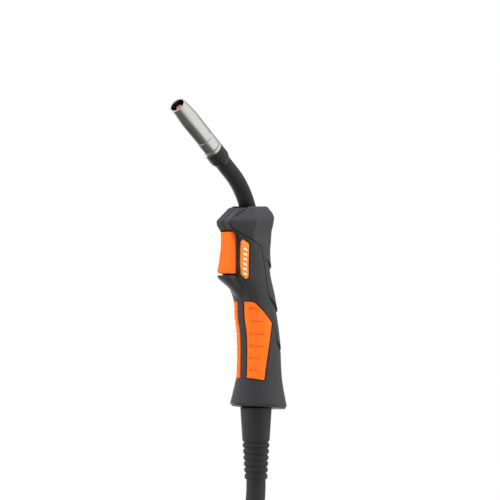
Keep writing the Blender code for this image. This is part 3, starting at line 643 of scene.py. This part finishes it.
def head_half(height, inset):
    """Half of the head's section, a polygon with eased corners, from the front to the rear."""
    near = [head_corners(height + shift) for shift in (-0.8, 0.0, 0.8)]
    corners = [sum(three, Vector((0.0, 0.0))) / 3 for three in zip(*near)]
    outline = [tuple(c) for c in corners] + [(c.x, -c.y) for c in corners[-2:0:-1]]
    moved = [Vector(p) for p in grown(outline, -inset)[: len(corners)]]
    half = []
    for k, (start, end) in enumerate(zip(moved, moved[1:])):
        along = (end - start).normalized() * HEAD_EDGE_RADIUS
        at_front, at_rear = k == 0, k == len(moved) - 2
        first = start if at_front else start + along
        last = end if at_rear else end - along
        count = CORNER_STEPS[k + 1] - CORNER_STEPS[k]
        spans = count - 2 + at_front + at_rear
        half += [start, *(first.lerp(last, (i - 1 + at_front) / spans) for i in range(1, count))]
    half.append(moved[-1])
    for step in CORNER_STEPS[1:-1]:
        half[step] = (half[step - 1] + 2 * half[step] + half[step + 1]) / 4
    return half


def handle_ring(height, inset=0.0, relief=None):
    """The handle's section at this height, moved in by the inset and by the relief at each point."""
    widest, front, rear, width, power = curve_through(GRIP_SECTIONS, height)
    flat = BODY_FRONT + inset
    turns = [math.pi * k / HALF_POINTS for k in range(HALF_POINTS + 1)]
    xs = []
    for turn in turns:
        c = math.cos(turn)
        xs.append(widest - ((front if c > 0 else rear) - inset) * math.copysign(abs(c) ** (2 / power), c))
    last = max(sum(x < flat for x in xs), 1)
    half = []
    for k, (turn, x) in enumerate(zip(turns, xs)):
        y = (width - inset) * math.sin(turn) ** (2 / power) if 0 < k < HALF_POINTS else 0.0
        if x < flat:
            share = ((widest - flat) / (front - inset)) ** power
            x, y = flat, (width - inset) * (1 - share) ** (1 / power) * k / last
        half.append(Vector((x, y)))
    blend = eased((height - HEAD_BLEND[0]) / (HEAD_BLEND[1] - HEAD_BLEND[0]))
    if blend:
        half = [p.lerp(q, blend) for p, q in zip(half, head_half(height, inset))]
    slant = SKIRT_SLANT * clamp((SLANT_TOP - height) / (SLANT_TOP - HANDLE_BOTTOM))
    rising = clamp((height - LIFT_RISE[0]) / LIFT_RISE[1])
    falling = clamp((LIFT_FALL[0] - height) / LIFT_FALL[1])
    lift = REAR_LIFT * min(rising, falling)
    placed = []
    for k, (x, y) in enumerate(half):
        if relief:
            depth = relief(x, y, height)
            x, y = x - depth * clamp((x - widest) / rear, -1.0), y - depth * clamp(y / width)
        rear_share = clamp((k - CORNER_STEPS[2]) / (CORNER_STEPS[3] - CORNER_STEPS[2]))
        placed.append((x, y, height - slant * x + lift * rear_share))
    return placed + [(x, -y, z) for x, y, z in placed[-2:0:-1]]


def handle_loft(name, inset=0.0, bottom=HANDLE_BOTTOM, top=HANDLE_TOP, relief=None, step=RING_STEP,
                rims=(0, 0)):
    """The handle's outer form, moved in by the inset. rims are the chamfers round its ends."""
    count = round((top - bottom) / step)
    levels = {bottom + (top - bottom) * k / count for k in range(count + 1)}
    rings = []
    for z in sorted(levels | {bottom + rims[0], top - rims[1]}):
        rim = max(0.0, bottom + rims[0] - z, z - top + rims[1])
        rings.append(handle_ring(z, inset + 0.85 * rim, relief))
    return loft(name, rings)


def inner_form(name, inset):
    """The handle's form moved in by the inset and longer at both ends, as a cutter."""
    return handle_loft(name, inset, HANDLE_BOTTOM - 5, HANDLE_TOP + 8)


def guard():
    """The finger guard, a tongue that grows out of the handle under the trigger."""
    rings = []
    low, high = GUARD_SECTIONS[0][0], GUARD_SECTIONS[-1][0]
    for step in range(45):
        height = low + (high - low) * step / 44
        nose, width = curve_through(GUARD_SECTIONS, height)
        arc = []
        for k in range(33):
            turn = math.pi * (k / 32 - 0.5)
            arc.append((nose + width * 0.9 * (1 - math.cos(turn)), width * math.sin(turn), height))
        rings.append([*arc, (GUARD_BACK, width, height), (GUARD_BACK, -width, height)])
    return bevelled(loft("guard", rings), 0.7, 3, 50.0)


def grown(outline, distance):
    """The outline moved outwards by this distance; its points run either way round."""
    outline = tuple(outline)
    area = sum(a[0] * b[1] - b[0] * a[1] for a, b in zip(outline, outline[1:] + outline[:1]))
    way = distance * math.copysign(1.0, area)
    moved = []
    for before, at, after in zip(outline[-1:] + outline[:-1], outline, outline[1:] + outline[:1]):
        first = Vector((at[0] - before[0], at[1] - before[1])).normalized()
        second = Vector((after[0] - at[0], after[1] - at[1])).normalized()
        normal = Vector((first.y + second.y, -first.x - second.x))
        normal *= way / max(normal.dot(Vector((first.y, -first.x))), 0.3)
        moved.append((at[0] + normal.x, at[1] + normal.y))
    return tuple(moved)


def rounded(outline, radius, steps=5):
    """The outline with its corners rounded by short curves."""
    outline = [Vector(p) for p in outline]
    found = []
    for k, at in enumerate(outline):
        before, after = outline[k - 1], outline[(k + 1) % len(outline)]
        start = at + (before - at).normalized() * min(radius, 0.4 * (before - at).length)
        end = at + (after - at).normalized() * min(radius, 0.4 * (after - at).length)
        for i in range(steps + 1):
            t = i / steps
            place = (1 - t) ** 2 * start + 2 * t * (1 - t) * at + t**2 * end
            found.append((place.x, place.y))
    return tuple(found)


def skin_region(name, outline, depth, edge, width, low, high, top=HANDLE_TOP):
    """The handle's skin inside the outline, with a small step of this depth and width round its edge."""
    piece = handle_loft(name, edge, HANDLE_BOTTOM, top, rims=(0, 1.0))
    boolean(piece, prism("region", outline, low, high), "INTERSECT")
    crown = handle_loft("crown", 0.0, HANDLE_BOTTOM, top, rims=(0, 1.0))
    boolean(crown, prism("region", grown(outline, -width), low + width, high - width), "INTERSECT")
    boolean(piece, crown, "UNION")
    boolean(piece, inner_form("inside", depth))
    return piece


def recess(name, outline, depth, inner_edge=0.0, clearance=0.5):
    """A cutter for the bed under a piece that is let into the left side of the skin."""
    cutter = prism(name, grown(outline, clearance), -45.0, -inner_edge)
    middle = NOSE_MIDDLE - clearance
    boolean(cutter, block("nose_middle", (-60, -middle, 80), (COVER_NOSE - clearance, 5, 130)))
    return boolean(cutter, inner_form("bed", depth))


def slot_outline():
    return ((-60, SLOT_BOTTOM), (-24, SLOT_BOTTOM), (-24, HEAD_UNDERSIDE), (-60, HEAD_UNDERSIDE))


def ball_pocket():
    """The hollow that holds the ball, open to the hollow above it and to the skirt's mouth."""
    radius = BALL_RADIUS + GAP
    arc = []
    top, bottom = math.radians(50), -math.acos(MOUTH_RADIUS / radius)
    for k in range(17):
        turn = top + (bottom - top) * k / 16
        arc.append((radius * math.cos(turn), BALL_Z + radius * math.sin(turn)))
    profile = [(0, -24.0), (arc[0][0], -24.0), *arc, (MOUTH_RADIUS, -70.0), (0, -70.0)]
    return turned("pocket", profile, (0, 0, 0), (0, 0, 1), 96)


def groove(name, outer, inner, depth):
    """A cutter for a groove of this depth on the handle's front, between two outlines of (y, z)."""
    cutter = loft(name, [[(x, y, z) for y, z in outer] for x in (-60.0, -20.0)])
    boolean(cutter, loft("inner", [[(x, y, z) for y, z in inner] for x in (-65.0, -15.0)]))
    return boolean(cutter, inner_form("bed", depth))


def bezel(half_width, bottom, top):
    """The frame round the trigger's slot, seen from the front."""
    corner = 3.0
    arc = []
    for k in range(7):
        turn = math.pi / 2 * k / 6
        arc.append((half_width - corner * (1 - math.cos(turn)), bottom + corner * (1 - math.sin(turn))))
    return [(half_width, top), *arc, *[(-y, z) for y, z in reversed(arc)], (-half_width, top)]


def shells(cover_outline, insert_outline, label_outline):
    """The two halves of the casing, with beds for what is let into them."""
    left = handle_loft("left", rims=(2.5, 0.8))
    boolean(left, groove("slot_band", bezel(9.3, 52.6, 96.5), bezel(7.0, 54.9, 99.0), 0.2))
    boolean(left, groove("slot_groove", bezel(9.8, 52.1, 96.5), bezel(8.9, 53.0, 99.0), 1.1))
    boolean(left, guard(), "UNION")
    boolean(left, block("left_side", (-60, -40, -80), (60, -SEAM, 130)), "INTERSECT")
    boolean(left, handle_loft("hollow", WALL, -26.0, 108.0))
    boolean(left, prism("slot", slot_outline(), -SLOT_HALF_WIDTH, 5))
    seam = block("seam", (-60, -0.4, HEAD_UNDERSIDE - 1), (-4, 1, 130))
    boolean(left, boolean(seam, inner_form("under_seam", 0.55)))
    for depth, grow in ((0.3, 0.8), (COVER_WALL + GAP, 0.5)):
        boolean(left, recess("cover_bed", cover_outline, depth, 0.0, grow))
    for depth, grow in ((0.3, 1.1), (INSERT_DEPTH + GAP, 0.8)):
        boolean(left, recess("insert_bed", insert_outline, depth, STRIP_HALF_WIDTH - grow, grow))
    for depth, grow in ((0.3, 1.1), (LABEL_DEPTH + GAP, 0.8)):
        boolean(left, recess("label_bed", label_outline, depth, 0.0, grow))
    boolean(left, neck_pipe("neck_hole", 60.0, 150.0, NECK_RADIUS + GAP))
    boolean(left, ball_pocket())
    right = mirrored(left, "right")
    for number in range(1, 5):
        low, high = (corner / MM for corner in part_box(f"shell_screw_{number}"))
        seat = high.y - SCREW_HEAD
        hole = ((0, -1), (1.8, -1), (1.8, seat), (3.1, seat), (3.1, 30), (0, 30))
        boolean(right, turned("hole", hole, ((low.x + high.x) / 2, 0, (low.z + high.z) / 2), (0, 1, 0), 32))
    shown(left, "handle_shell_left")
    shown(right, "handle_shell_right")


# The back cover's lips: height at x = 0, fall per millimetre rearward, reach and depth of the step below
SCALE_LIPS = ((66.4, 0.57, 32.0, 1.3), (36.6, 0.75, 28.0, 1.2), (5.5, 0.75, 20.0, 1.1))
LIP_FLARE = 0.25
LIP_FLARE_HEIGHT = 7.0


def scale_band(low, high):
    """The space between two planes that fall towards the rear, each given as (height at x = 0, fall)."""
    reach = 60.0
    outline = [(x, low[0] - low[1] * x) for x in (-reach, reach)]
    return prism("band", outline + [(x, high[0] - high[1] * x) for x in (reach, -reach)], -45.0, 45.0)


def cover(outline):
    """The back cover, whose back is four scales, each stepped in under the lip of the one above."""
    top_lip = SCALE_LIPS[0]
    lips = [(200.0, 0.0, 1.0, 0.0), *SCALE_LIPS, (-100.0, 0.0, 1.0, 0.0)]
    piece = skin_region("cover", outline, COVER_WALL, 0.3, 0.45, -40.0, 40.0, COVER_TOP)
    boolean(piece, block("nose_middle", (-60, -NOSE_MIDDLE, 80), (COVER_NOSE, NOSE_MIDDLE, 130)))
    boolean(piece, scale_band((top_lip[0] + 14.0, top_lip[1]), (200.0, 0.0)), "INTERSECT")
    for (lip, fall, reach, deepest), (next_lip, next_fall, _, _) in zip(lips, lips[1:]):

        def stepped_in(x, y, z):
            below = clamp((lip - fall * x - z) / reach)
            flare = clamp(1 - abs(z - next_lip + next_fall * x) / LIP_FLARE_HEIGHT)
            return (deepest * (1 - below) - LIP_FLARE * flare * flare) * eased((x + 8.0) / 12.0)

        scale = handle_loft("scale", 0.0, HANDLE_BOTTOM, COVER_TOP, stepped_in, rims=(0, 1.0))
        boolean(scale, prism("region", outline, -40.0, 40.0), "INTERSECT")
        boolean(scale, inner_form("inside", COVER_WALL))
        boolean(scale, scale_band((next_lip, next_fall), (lip + 2.0, fall)), "INTERSECT")
        boolean(piece, scale, "UNION")
    clear = SLOT_HALF_WIDTH + GAP
    boolean(piece, prism("slot", slot_outline(), -clear, clear))
    return shown(piece, "back_cover")


# Recesses in the grip insert: height of their upper edge, and how far they reach rearward
RIBS = ((27.3, 3.0), (17.1, 7.2), (5.9, 8.0), (-5.0, 6.2), (-15.7, 4.2), (-26.4, 2.8))
RIB_START = -5.6
RIB_HEIGHT = 5.8
RIB_DEPTH = 1.25
RIB_UPPER_SHARE = 0.2
RIB_LOWER_SHARE = 0.15
RIB_CLEARANCE = 0.04
RIB_FALL = 0.23
DRAW_ANGLE = math.radians(-48.0)


def drawn(name, outline, reach):
    """An outline of (across, height), extruded along the direction in which the mould is drawn."""
    across = Vector((math.cos(DRAW_ANGLE), math.sin(DRAW_ANGLE), 0.0))
    out = Vector((math.sin(DRAW_ANGLE), -math.cos(DRAW_ANGLE), 0.0))
    return loft(name, [[u * across + t * out + Vector((0, 0, v)) for u, v in outline] for t in (2.0, reach)])


def rib_cutters():
    """Cutters for the grip insert's shallow recesses, each deepest under its upper edge, at its front."""
    cutters = []
    for top, rear in RIBS:

        def deep(x, y, z):
            along = math.cos(DRAW_ANGLE) * x + math.sin(DRAW_ANGLE) * y
            below = clamp((top - RIB_FALL * (along - RIB_START) - z) / RIB_HEIGHT)
            fading = clamp((rear - along) / (rear - RIB_START) * 2.5)
            upper_wall = below / RIB_UPPER_SHARE
            floor_rise = 1.0 - 0.6 * below
            lower_wall = (1.0 - below) / RIB_LOWER_SHARE
            return RIB_DEPTH * min(upper_wall, floor_rise, lower_wall) * fading - RIB_CLEARANCE

        bed = handle_loft("bed", 0.0, top - 15.0, top + 6.0, deep, 0.3)
        outline = []
        for u, v in ((RIB_START, top), (rear, top), (rear, top - RIB_HEIGHT), (RIB_START, top - RIB_HEIGHT)):
            outline.append((u, v - RIB_FALL * (u - RIB_START)))
        cutters.append(boolean(drawn("rib", rounded(outline, 0.6), 45.0), bed))
    return cutters


BAR_TOP = 79.0
BAR_PITCH = 4.3


def label_marks():
    """A row of slanting raised bars along the left label plate."""
    marks = handle_loft("marks", -0.12, 50.0, 88.0, step=0.8)
    bars = None
    for k in range(6):
        z = BAR_TOP - BAR_PITCH * k
        outline = ((-30.0, z), (-27.6, z - 1.2), (-27.6, z - 2.8), (-30.0, z - 1.6))
        bar = prism("bar", outline, -40.0, -4.0)
        bars = boolean(bars, bar, "UNION") if bars else bar
    boolean(marks, bars, "INTERSECT")
    return boolean(marks, handle_loft("inside", 0.1, 45.0, 92.0))


def side_pieces(insert_outline, label_outline):
    """The orange grip inserts and label plates on both sides, and the bars on the plates."""
    insert = skin_region("insert", insert_outline, INSERT_DEPTH, 0.25, 0.4, -40.0, -STRIP_HALF_WIDTH)
    for cutter in rib_cutters():
        boolean(insert, cutter)
    plate = skin_region("plate", label_outline, LABEL_DEPTH, 0.15, 0.3, -40.0, -0.1)
    for source, kind, paint in ((insert, "grip_insert", None), (plate, "label_plate", "label_plastic")):
        shown(mirrored(source, "right"), f"{kind}_right", paint=paint)
        shown(source, f"{kind}_left", paint=paint)
    marks = label_marks()
    for marked, word in ((mirrored(marks, "right_marks"), "right"), (marks, "left")):
        marked.name = f"label_marks_{word}"
        marked.data.materials.clear()
        marked.data.materials.append(PAINT["pad_print"])
        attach(marked, "handle")


def trigger():
    """The trigger: a hollow cap with side walls, hung on its pin at the top."""
    rings = []
    heights = [row[0] for row in TRIGGER_SECTIONS[:4]]
    heights += [61.0 + 18.0 * k / 12 for k in range(1, 13)] + [83.0, 85.6, 93.0]
    for height in heights:
        front = curve_through([row[:2] for row in TRIGGER_SECTIONS], height)[0]
        back = -32.0 if height < 84.0 else -26.6
        widening = eased((height - 56.0) / 20.0)
        nose = TRIGGER_NOSE_HALF_WIDTH + (TRIGGER_HALF_WIDTH - 0.3 - TRIGGER_NOSE_HALF_WIDTH) * widening
        shoulder = min(front + 5.0, -35.4)
        half = ((front, nose), (shoulder, TRIGGER_HALF_WIDTH), (back, TRIGGER_HALF_WIDTH))
        rings.append([(x, -y, height) for x, y in half] + [(x, y, height) for x, y in reversed(half)])
    piece = bevelled(loft("trigger", rings), 0.5, 3, 14.0)
    boolean(piece, block("inside", (-36.2, -5.4, 59.0), (-20.0, 5.4, 84.0)))
    bore = ((0, -10), (1.62, -10), (1.62, 10), (0, 10))
    boolean(piece, turned("bore", bore, (TRIGGER_PIN[0], 0, TRIGGER_PIN[1]), (0, 1, 0), 32))
    return shown(piece, "trigger", 50.0)


# ---------------------------------------------------------------- neck and front end

NECK_X = -6.0
NECK_BEND = math.radians(50.0)
NECK_BEND_RADIUS = 74.0
NECK_BEND_Z = 87.8
NECK_STRAIGHT = 18.0
NECK_RADIUS = 7.25
CORE_RADIUS = 5.0
NECK_END = NECK_BEND_Z + NECK_BEND * NECK_BEND_RADIUS + NECK_STRAIGHT
NOZZLE_RIM = 73.4
NOZZLE_BACK = 29.6
COLLAR_BACK = 17.2
RING_BACK = 14.0


def neck_frame(distance):
    """The neck's centre, direction and in-plane normal at this distance along its line."""
    rise = distance - NECK_BEND_Z
    if rise <= 0:
        return Vector((NECK_X, 0, distance)), Vector((0, 0, 1)), Vector((1, 0, 0))
    angle = min(rise / NECK_BEND_RADIUS, NECK_BEND)
    centre = Vector((NECK_X - NECK_BEND_RADIUS, 0, NECK_BEND_Z))
    out = Vector((math.cos(angle), 0, math.sin(angle)))
    along = Vector((-math.sin(angle), 0, math.cos(angle)))
    beyond = max(0.0, rise - NECK_BEND * NECK_BEND_RADIUS)
    return centre + NECK_BEND_RADIUS * out + beyond * along, along, out


def neck_pipe(name, start, end, radius, sides=64):
    """A solid rod along the neck's line."""
    rings = []
    count = max(2, round((end - start) / 2.0))
    for step in range(count + 1):
        centre, _, out = neck_frame(start + (end - start) * step / count)
        turns = [2 * math.pi * (k + 0.31) / sides for k in range(sides)]
        spokes = [math.cos(t) * out + math.sin(t) * Vector((0, 1, 0)) for t in turns]
        rings.append([centre + radius * spoke for spoke in spokes])
    return loft(name, rings)


def on_nozzle_axis(node, profile, steps=96, radius=0.25, paint=None):
    """A turned piece on the nozzle's axis with its profile's corners rounded."""
    base, along, _ = neck_frame(NECK_END)
    piece = turned(node, rounded(profile, radius, PROFILE_STEPS), base, along, steps)
    return shown(piece, node, paint=paint)


def neck():
    tube = neck_pipe("neck_tube", 68.0, NECK_END - 0.3, NECK_RADIUS)
    boolean(tube, neck_pipe("inside", 60.0, NECK_END + 6.0, CORE_RADIUS + GAP, 48))
    shown(tube, "neck_tube")
    inside = NECK_RADIUS + GAP
    clip = ((inside, -1.6), (7.7, -1.6), (7.9, -1.2), (7.9, -0.5), (inside, -0.3))
    # The ferrule takes the darker copy of steel, painted shade that dims its bright reflection
    on_nozzle_axis("neck_ferrule", clip, radius=0.1, paint="painted_shade_steel")
    inside = CORE_RADIUS + GAP
    back = RING_BACK - GAP
    collar = ((inside, 0), (8.0, 0), (8.9, 1.8), (8.9, back), (6.1, back), (6.1, 33.0), (inside, 33.0))
    on_nozzle_axis("neck_insulator", collar, radius=0.4)


def front_end():
    """Contact tip and the three rings of the gas nozzle."""
    tip = ((0.6, 40.0), (3.0, 40.0), (3.0, 46.3), (4.0, 46.3), (4.0, 62.0))
    tip += ((3.0, 69.6), (2.6, 70.4), (0.6, 70.4))
    on_nozzle_axis("contact_tip", tip, 64)
    back = NOZZLE_BACK + GAP
    nozzle = ((7.7, back), (9.0, back), (9.1, 55.0), (7.6, NOZZLE_RIM - 0.5), (7.2, NOZZLE_RIM))
    nozzle += ((6.5, NOZZLE_RIM), (6.3, NOZZLE_RIM - 0.6), (7.7, 55.0))
    on_nozzle_axis("gas_nozzle", nozzle, 128, 0.3)
    collar = ((7.7, COLLAR_BACK + GAP), (8.7, COLLAR_BACK + GAP), (8.95, COLLAR_BACK + 0.8))
    collar += ((8.95, NOZZLE_BACK - 0.6), (8.6, NOZZLE_BACK), (7.7, NOZZLE_BACK))
    on_nozzle_axis("nozzle_collar", collar, 128)
    ring = ((7.7, RING_BACK), (9.0, RING_BACK), (9.2, RING_BACK + 0.3), (9.2, COLLAR_BACK - 0.4))
    ring += ((9.0, COLLAR_BACK), (7.7, COLLAR_BACK))
    on_nozzle_axis("nozzle_end_ring", ring, 128)


# ---------------------------------------------------------------- cable support, cable, connector


def cable_support():
    """The swivelling ball inside the skirt and the ribbed strain relief below it."""
    bore = CABLE_RADIUS + 0.6
    flare = 2.4
    start = math.asin(10.0 / BALL_RADIUS)
    end = math.asin((RELIEF_TOP + GAP - BALL_Z) / BALL_RADIUS)
    arc = []
    for k in range(25):
        turn = start + (end - start) * k / 24
        arc.append((BALL_RADIUS * math.cos(turn), BALL_Z + BALL_RADIUS * math.sin(turn)))
    ball = ((bore, arc[-1][1]), (bore, BALL_Z), (bore + flare, arc[0][1]), *arc)
    shown(turned("support_ball", ball, (0, 0, 0), (0, 0, 1), 96), "support_ball")
    outer = [(13.2, RELIEF_TOP), (13.8, RELIEF_TOP - 0.8), (12.2, -87.5)]
    for k in range(6):
        top = -90.5 - 5.4 * k
        radius = 12.2 - 2.2 * (-87.5 - top) / 36.0
        outer += [(radius, top), (radius - 1.1, top - 0.5)]
        outer += [(radius - 1.2, top - 2.0), (radius - 0.2, top - 2.5)]
    outer += [(10.0, RELIEF_END + 0.6), (9.6, RELIEF_END), (bore, RELIEF_END)]
    relief = rounded([(bore, RELIEF_TOP), *outer], 0.4, PROFILE_STEPS)
    shown(turned("strain_relief", relief, (0, 0, 0), (0, 0, 1), 96), "strain_relief")


def coil_point(radius, degrees, height):
    turn = math.radians(degrees)
    return (COIL_CENTRE[0] + radius * math.cos(turn), COIL_CENTRE[1] + radius * math.sin(turn), height)


def cable_route():
    """The whole free cable's centre line: down, onto the coil, four turns, and up to the connector."""
    bend = ON_COIL_Z + HANG_BEND
    route = [(0, 0, CABLE_START), (0, 0, -114.0), (0, 0, RELIEF_END)]
    for degrees in (8, 24, 40, 56, 72, 86):
        turn = math.radians(degrees)
        route.append((-HANG_BEND + HANG_BEND * math.cos(turn), 0.0, bend - HANG_BEND * math.sin(turn)))
    outer = COIL_RADIUS + CABLE_RADIUS + GAP
    inner = COIL_RADIUS - CABLE_RADIUS - GAP
    low = FLOOR_Z + CABLE_RADIUS + 0.1
    layer = 2 * CABLE_RADIUS + 0.4
    degrees_apart = 8.0
    count = round((COIL_START - COIL_END) / degrees_apart)
    for k in range(count + 1):
        degrees = COIL_START + (COIL_END - COIL_START) * k / count

        def change(first, last):
            return eased((first - degrees) / (first - last))

        height = ON_COIL_Z - (ON_COIL_Z - low - layer) * change(-160, -230) - layer * change(-520, -590)
        height += layer * change(-1045, -1115) + (ON_COIL_Z - low - layer) * change(-1335, -1405)
        radius = outer + (inner - outer) * change(-755, -875)
        route.append(coil_point(radius, degrees, height))
    for degrees in (211, 200, 190):
        route.append(coil_point(inner, degrees, ON_COIL_Z))
    for degrees, lift in ((6, 0.3), (22, 1.8), (38, 4.6), (54, 8.0), (70, 11.2), (84, 13.4)):
        turn = math.radians(degrees)
        x = COIL_CENTRE[0] - inner + TAIL_BEND * (1 - math.cos(turn))
        route.append((x, COIL_CENTRE[1] + TAIL_BEND * math.sin(turn), ON_COIL_Z + lift))
    back = CONNECTOR_BACK
    route += [(back[0] + 6.0, back[1], back[2]), (back[0] + 20.0, back[1], back[2])]
    return route


def free_cable(on_it):
    """The cable from the strain relief to the connector, as one cord; on_it is not used."""
    line = smooth(cable_route())
    piece = tube_mesh("cable_whole", line, CABLE_RADIUS)
    piece.data.shade_smooth()
    piece.data.set_sharp_from_angle(angle=math.radians(50))
    piece.data.materials.append(PAINT["cable_rubber"])
    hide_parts("cable", "cable_coil", "cable_tail")
    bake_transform(piece)


def on_connector(node, profile, y=0.0, z=0.0, steps=72, radius=0.3):
    """A turned piece along the connector's axis, or beside it."""
    base = (CONNECTOR_BACK[0], CONNECTOR_BACK[1] + y, CONNECTOR_BACK[2] + z)
    return turned(node, rounded(profile, radius, PROFILE_STEPS), base, (1, 0, 0), steps)


def connector():
    """The machine connector: relief, housing, brass body, gas pin, union nut and two sprung pins."""
    inside = CABLE_RADIUS + 0.6
    relief = [(inside, 0), (10.2, 0)]
    for k in range(4):
        at = 4.0 + 6.0 * k
        radius = 10.2 + 3.2 * at / 32.0
        relief += [(radius, at), (radius - 0.9, at + 0.5), (radius - 0.7, at + 2.2), (radius + 0.3, at + 2.7)]
    relief += [(13.4, 32.0), (inside, 32.0)]
    made = [shown(on_connector("relief", relief), "connector_relief")]
    housing = ((inside, 32.3), (14.0, 32.3), (16.6, 36.0), (17.6, 50.0), (19.0, 84.0))
    housing += ((19.0, 88.0), (13.9, 88.0), (13.9, 66.0), (inside, 66.0))
    body = on_connector("housing", housing, steps=96, radius=0.8)
    for k in range(12):
        turn = 2 * math.pi * k / 12
        across = (20.4 * math.cos(turn), 20.4 * math.sin(turn))
        boolean(body, on_connector("flute", ((0, 52), (2.4, 53.5), (2.4, 78.5), (0, 80)), *across, steps=24))
    made.append(shown(body, "connector_housing"))
    brass = ((2.2, 70.0), (13.6, 70.0), (13.6, 100.0), (12.8, 101.0), (2.2, 101.0))
    core = on_connector("core", brass, steps=96)
    for y in (-8.6, 8.6):
        boolean(core, on_connector("pin_hole", ((0, 80), (2.4, 80), (2.4, 110), (0, 110)), y, steps=32))
    boolean(core, on_connector("gas_bore", ((0, 85), (5.3, 85), (5.3, 110), (0, 110)), steps=48))
    made.append(shown(core, "connector_core"))
    pin = ((1.2, 85.3), (5.0, 85.3), (5.0, 112.0), (4.3, 112.4), (4.3, 114.0))
    pin += ((5.0, 114.4), (5.0, 120.0), (4.2, 122.0), (1.2, 122.0))
    made.append(shown(on_connector("gas_pin", pin), "gas_pin"))
    seal = ((4.6, 112.7), (5.3, 112.7), (5.5, 113.2), (5.3, 113.7), (4.6, 113.7))
    made.append(shown(on_connector("seal", seal, radius=0.15), "gas_pin_seal"))
    for number, y in ((1, -8.6), (2, 8.6)):
        contact = ((0, 86.0), (2.0, 86.0), (2.0, 104.6), (1.4, 105.4), (0, 105.4))
        made.append(shown(on_connector("contact", contact, y, steps=32), f"control_pin_{number}"))
    rim = 22.4
    nut = ((14.4, 90.6), (19.0, 90.6), (rim, 92.0), (rim, 110.0), (21.2, 111.4))
    nut += ((18.4, 111.4), (18.4, 95.0), (14.4, 95.0))
    ring = on_connector("nut", nut, steps=120, radius=0.6)
    for k in range(6):
        turn = 2 * math.pi * (k + 0.5) / 6
        across = (rim + 1.4) * math.cos(turn), (rim + 1.4) * math.sin(turn)
        boolean(ring, on_connector("flute", ((0, 85), (2.9, 85), (2.9, 120), (0, 120)), *across, steps=40))
    made.append(shown(ring, "connector_nut"))
    return made


def trigger_spring():
    """The trigger's spring between the housing and the trigger, copied from the CAD node with its shape
    unchanged.
    """
    node = "trigger_spring"
    source = frame["nodes"][node]
    spring = mesh_from(source, "trigger_spring_coil")
    for face in spring.data.polygons:
        face.use_smooth = True
    spring.data.materials.append(PAINT[SLOT_OF[node]])
    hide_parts(node)
    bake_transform(spring)


def mesh_from(source, name):
    """A new object with the source's shape, placed in the row frame."""
    mesh = source.data.copy()
    mesh.transform(source.matrix_world)
    mesh.materials.clear()
    obj = bpy.data.objects.new(name, mesh)
    bpy.context.scene.collection.objects.link(obj)
    return obj


def inner_pieces():
    """The CAD nodes that are hidden inside keep their shape and get the detailed materials."""
    for node, obj in frame["nodes"].items():
        if not obj.hide_render:
            obj.data.materials.clear()
            obj.data.materials.append(PAINT[SLOT_OF[node]])


def main():
    camera()
    studio()
    floor()
    free_cable(connector())
    cover_outline = rounded(COVER_OUTLINE, 1.2)
    insert_outline = rounded(INSERT_OUTLINE, 2.0)
    label_outline = rounded(LABEL_OUTLINE, 0.4)
    shells(cover_outline, insert_outline, label_outline)
    cover(cover_outline)
    side_pieces(insert_outline, label_outline)
    trigger()
    neck()
    front_end()
    cable_support()
    trigger_spring()
    inner_pieces()


main()
